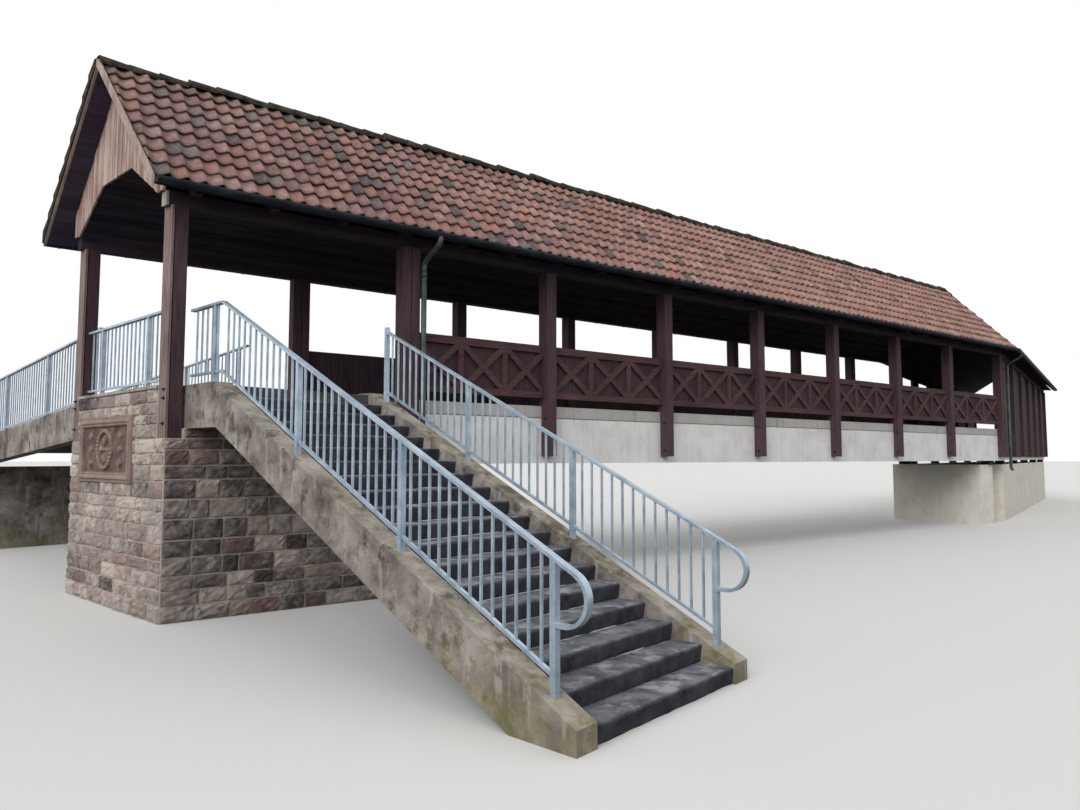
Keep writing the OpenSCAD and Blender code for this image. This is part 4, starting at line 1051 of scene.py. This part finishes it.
def abutmentStones():
    # the four sides of the abutment: smaller stones on the flanks, the panel's place left in front
    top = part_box("abutment_wall")[1]
    seat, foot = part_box("bridge_beams")[0].z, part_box("gable_posts")[0].z
    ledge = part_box("stair_cheek_west")[1].z - 0.5
    cosSkew, sinSkew = math.cos(bridge["skew"]), math.sin(bridge["skew"])
    length, quoin = 2 * halfWidth / cosSkew, masonry["quoin"]
    deep = top.x - gableX
    platform = deep - masonry["ledge"]
    along, out, corner = (-sinSkew, cosSkew, 0), (cosSkew, sinSkew, 0), (gableX, -halfWidth, 0)
    # the gable face gets tone 0.24 and the other sides -0.10: soot and damp on those sides, and painted
    # shade, as they lie out of the light
    gable = coursedStones(corner, along, (-cosSkew, -sinSkew, 0),
                          [(0, seat, 10, 0, length), (seat, foot, 2, 0, length),
                           (foot, top.z, 4, quoin, length - quoin)],
                          0.24, 21, 1.1, masonry["panel"])
    south = coursedStones(corner, (1, 0, 0), (0, -1, 0),
                          [(0, seat, 9, 0, deep), (seat, foot, 2, 0, platform),
                           (foot, ledge, 1, 0.20, platform)], -0.10, 22, 0.78)
    north = coursedStones((-gableX, halfWidth, 0), (1, 0, 0), (0, 1, 0),
                          [(0, seat, 11, 0, deep), (seat, foot, 2, 0, platform)], -0.1, 23, 0.78)
    inner = coursedStones((gableX + deep, -halfWidth, 0), along, out,
                          [(0, seat - 0.01, 11, 0, length)], -0.1, 24)
    return joined([gable, south, north, inner])


stonePoints, stoneFaces, stoneTone = abutmentStones()
addPiece("abutment_stones", stonePoints, stoneFaces, finish["stone"], tone=stoneTone)
print("stones set")

plaque = {
    "wide": 1.78,
    "high": 0.85,
    "step": 0.0115,         # distance between the points of the carving
    "middle": (1.745, 1.955),   # place along and up the gable wall
    "ring": 0.235,          # radius of the ring, half its width, its height
    "ringWide": 0.03,
    "ringHigh": 0.034,
    "petal": (0.03, 0.16),  # petals start at this radius and are so long
    "lozengeAt": 0.5,       # columns of lozenges left and right of the middle
    "lozengeStep": 0.17,
    "lozenge": (0.09, 0.08),    # half width and half height
}


def plaqueRelief():
    # height over the wall h(a, b): two mouldings round the edge, a ring r = 0.235, eight
    # petals cos 4t inside it and a column of three lozenges on each side
    wide, high = plaque["wide"], plaque["high"]
    a = np.linspace(-wide / 2, wide / 2, int(wide / plaque["step"]))
    b = np.linspace(-high / 2, high / 2, int(high / plaque["step"]))
    aa, bb = np.meshgrid(a, b)
    edge = np.minimum(wide / 2 - abs(aa), high / 2 - abs(bb))
    h = np.interp(edge, [0, 0.005, 0.05, 0.058, 0.088, 0.1, 0.125, 0.14, 0.15],
                  [0.036, 0.042, 0.042, 0.060, 0.060, 0.042, 0.050, 0.020, 0.018])
    r, t = np.hypot(aa, bb), np.arctan2(bb, aa)
    fromRing = r - plaque["ring"]
    h = h + plaque["ringHigh"] * np.clip(1 - (fromRing / plaque["ringWide"]) ** 2, 0, 1) ** 0.5
    h = h + 0.007 * (abs(fromRing) < 0.026) * np.cos(28 * t)    # notches on the ring
    start, length = plaque["petal"]
    swell = np.sin(np.pi * np.clip((r - start) / length, 0, 1))
    petal = np.clip(np.cos(4 * t), 0, 1) * np.clip(swell, 0, 1)
    h = h + 0.034 * petal ** 0.7 + 0.032 * np.clip(1 - (r / 0.035) ** 2, 0, 1)
    halfWide, halfHigh = plaque["lozenge"]
    for row in (-1, 0, 1):
        across = abs(abs(aa) - plaque["lozengeAt"]) / halfWide
        lozenge = 1 - across - abs(bb - row * plaque["lozengeStep"]) / halfHigh
        h = h + 0.05 * np.clip(lozenge, 0, 0.6) - 0.04 * np.clip(lozenge - 0.6, 0, 0.4)
    # painted light and shade by height: the higher the carving, the lighter it is drawn
    reliefLightAndShade = np.interp(h, [0.018, 0.030, 0.045, 0.075], [0.12, 0.20, 0.34, 0.5])
    h = h + np.random.default_rng(5).normal(0, 0.0008, h.shape)     # chisel marks
    h[[0, -1]] = -0.002
    h[:, [0, -1]] = -0.002
    along, up = plaque["middle"]
    points = intoSkew(np.stack([-h, along - aa, up + bb], -1)).reshape(-1, 3)
    addPiece("panel_relief", points, quads(len(b), len(a)), finish["relief"], cad=("relief_plaque",),
             tone=reliefLightAndShade.ravel())


plaqueRelief()
print("panel carved")

steps = {
    "count": 18,
    "rise": 2.66 / 19,    # height of the platform shared by nineteen risers
    "going": 0.285,
    "front": 5.79,        # face of the lowest step from the platform edge
    "left": 0.428,        # first end of the steps across the flight
    "wide": 1.839,
    "high": 0.139,        # height of one block
    "round": 0.022,       # worn nosing
    "lean": 0.018,        # riser leans back to its foot
    "wear": 0.0035,       # uneven nosing along a step
    "stations": 26,
}


def stairSteps():
    # closed profile of a step (distance up the flight, height) carried along X, the ends drawn
    # to a point; the nosing is a quarter circle worn unevenly
    random = np.random.default_rng(7)
    bend = np.linspace(0, np.pi / 2, 5)
    r, going, foot = steps["round"], steps["going"], -steps["high"]
    up = np.concatenate([[steps["lean"]], r - r * np.cos(bend), [0.08, 0.18, going, going]])
    high = np.concatenate([[foot], -r + r * np.sin(bend), [-0.002, -0.003, -0.001, foot]])
    # tone round the profile, 0 on the riser rising round the nosing to 1 on the tread, for the painted
    # shade and light of the tread stone
    tread = np.concatenate([[0.0], [0, 0.1, 0.3, 0.7, 1.0], [1, 1, 1, 0]])
    across = np.linspace(0, steps["wide"], steps["stations"])
    across = np.concatenate([[0.0], across, [steps["wide"]]])
    number = np.arange(steps["count"])[:, None, None]
    shape = (steps["count"], len(across), len(up))
    wear = random.normal(0, steps["wear"], shape[:2] + (1,)) + random.normal(0, 0.0015, shape)
    wear = wear * (np.arange(len(up)) < 1 + len(bend))      # only riser and nosing are worn
    x = np.broadcast_to(steps["left"] + across[None, :, None], shape)
    y = -steps["front"] + going * number + up + wear
    z = np.maximum(steps["rise"] * (number + 1) + high - abs(wear) * 0.6, 0.001)
    y[:, [0, -1]] = y[:, [0, -1]].mean(2, keepdims=True)
    z[:, [0, -1]] = z[:, [0, -1]].mean(2, keepdims=True)
    patch = tubeFaces(len(across), len(up))[:, [0, 3, 2, 1]]
    faces = facesOfAll(patch, steps["count"], len(across) * len(up))
    points = intoStair(np.stack([x, y, z], -1)).reshape(-1, 3)
    addPiece("stair_treads", points, faces, finish["tread"], cad=("stair_steps_odd", "stair_steps_even"),
             tone=np.broadcast_to(tread, shape).ravel())


stairSteps()
print("steps laid")

ridge = {
    "length": 0.36,         # cover length of a ridge tile
    "radius": 0.098,        # at its narrow end
    "grow": 0.020,          # so much wider at the lip
    "flat": 0.86,           # height of the arch as a share of its radius
    "drop": 0.055,          # its middle below the ridge
    "sides": 13,            # points round the arch
    "halfArch": 104,        # degrees down each side
    "jitter": 0.009,
    "rough": 0.0035,
}


def ridgeTiles(far):
    # half-round tiles, each station a circle of radius r(t) about the ridge: wide lip, slow
    # taper, then under the next lip
    random = np.random.default_rng(9 + far)
    start = 0.0 if far else -(bridge["verge"] + 0.03) / math.cos(bridge["skew"])
    end = farLength + 0.02 if far else bendX
    count = int(round((end - start) / ridge["length"]))
    stations = np.array([0.0, 0.002, 0.06, 0.5, 0.98])
    grow = np.array([0.0, 1.0, 0.9, 0.45, 0.1]) * ridge["grow"]
    each, rings, sides = len(stations), count * len(stations), ridge["sides"]
    angle = np.radians(np.linspace(-ridge["halfArch"], ridge["halfArch"], sides))
    along = (np.arange(count)[:, None] + stations).ravel() / count * (end - start) + start
    lift = np.repeat(random.normal(0, ridge["jitter"], count), each)
    sway = np.repeat(random.normal(0, ridge["jitter"] * 1.4, count), each)
    rough = random.normal(0, ridge["rough"], (rings, sides))
    radius = ridge["radius"] + np.tile(grow, count)[:, None] + rough
    y = radius * np.sin(angle) + sway[:, None]
    z = ridgeZ - ridge["drop"] + radius * np.cos(angle) * ridge["flat"] + lift[:, None]
    x = np.repeat(along[:, None], sides, axis=1)
    if not far:     # the first tile ends along the gable line
        x = np.where(along[:, None] < 0.1, np.minimum(x - y * skewTan, x + 0.03), x)
    points = np.stack([x, y, z], -1)
    if far:
        points = intoFar(points)
    tone = np.repeat(random.normal(0, 0.15, count), each * sides)
    return points.reshape(-1, 3), quads(rings, sides), tone


ridgePoints, ridgeFaces, ridgeTone = joined([ridgeTiles(False), ridgeTiles(True)])
addPiece("ridge_tiles", ridgePoints, ridgeFaces, finish["ridge"], cad=("ridge_cap",), tone=ridgeTone)
print("ridge closed")

studio = {
    "sky": 0.72,                # even light from all round
    "sun": 1.3,                 # broad soft light from the gable end
    "sunFrom": (-0.80, -0.35, 0.60),
    "softness": 40,             # width of that light in degrees
    "floor": "#e6e6e4",
    "ground": "#6f6f6c",        # what the floor throws back up
    "floorHalf": 400.0,         # half the floor's side
}


def setStudio():
    # an even pale sky, one broad light and a wide floor
    scene = bpy.context.scene
    world = bpy.data.worlds.new("studio")
    scene.world = world
    world.use_nodes = True
    tree = world.node_tree
    tree.nodes.clear()
    seen = addNode(tree, "LightPath")
    direct = addNode(tree, "Math", {"operation": "MAXIMUM"},
                     {0: seen.outputs["Is Camera Ray"], 1: seen.outputs["Is Glossy Ray"]}).outputs[0]
    level = addNode(tree, "MapRange", {"To Min": studio["sky"], "To Max": 1.0},
                    {"Value": direct}).outputs[0]
    back = addNode(tree, "Background", {"Color": (1, 1, 1, 1)}, {"Strength": level})
    addNode(tree, "OutputWorld", {}, {"Surface": back.outputs[0]})

    lamp = bpy.data.lights.new("key", "SUN")
    lamp.energy = studio["sun"]
    lamp.angle = math.radians(studio["softness"])
    key = bpy.data.objects.new("key", lamp)
    scene.collection.objects.link(key)
    key.rotation_euler = Vector(studio["sunFrom"]).to_track_quat("Z", "Y").to_euler()

    half = studio["floorHalf"]
    corners = [(-half, -half, 0), (half, -half, 0), (half, half, 0), (-half, half, 0)]
    mesh = bpy.data.meshes.new("floor")
    mesh.from_pydata(corners, [], [(0, 1, 2, 3)])
    floor = bpy.data.objects.new("floor", mesh)
    scene.collection.objects.link(floor)
    material, tree = newMaterial("floorPaint")      # matt paint, pale to the camera only
    seen = addNode(tree, "LightPath").outputs["Is Camera Ray"]
    shades = {6: linear(studio["ground"]), 7: linear(studio["floor"])}
    body = addNode(tree, "Mix", {"data_type": "RGBA", **shades}, {0: seen}).outputs[2]
    closeMaterial(tree, {"Roughness": 0.95, "Specular IOR Level": 0.1}, {"Base Color": body})
    mesh.materials.append(material)


view = {
    # standing by the stair foot, looking up along the bridge
    "place": (-1.3613, -10.8514, 1.8557),
    "tilt": 93.971,             # degrees from straight down
    "heading": -36.582,         # degrees from the cross direction
    "lens": 25.154,             # millimetres on a 36 mm sensor
}


def setCamera():
    # the camera that the view above describes
    lens = bpy.data.cameras.new("camera")
    lens.sensor_width, lens.lens = 36.0, view["lens"]
    lens.clip_end = 2000
    camera = bpy.data.objects.new("camera", lens)
    bpy.context.scene.collection.objects.link(camera)
    camera.location = view["place"]
    camera.rotation_euler = (math.radians(view["tilt"]), 0.0, math.radians(view["heading"]))
    bpy.context.scene.camera = camera


setStudio()
setCamera()
bpy.context.scene.view_settings.view_transform = "Standard"
bpy.context.view_layer.update()
print("scene ready")
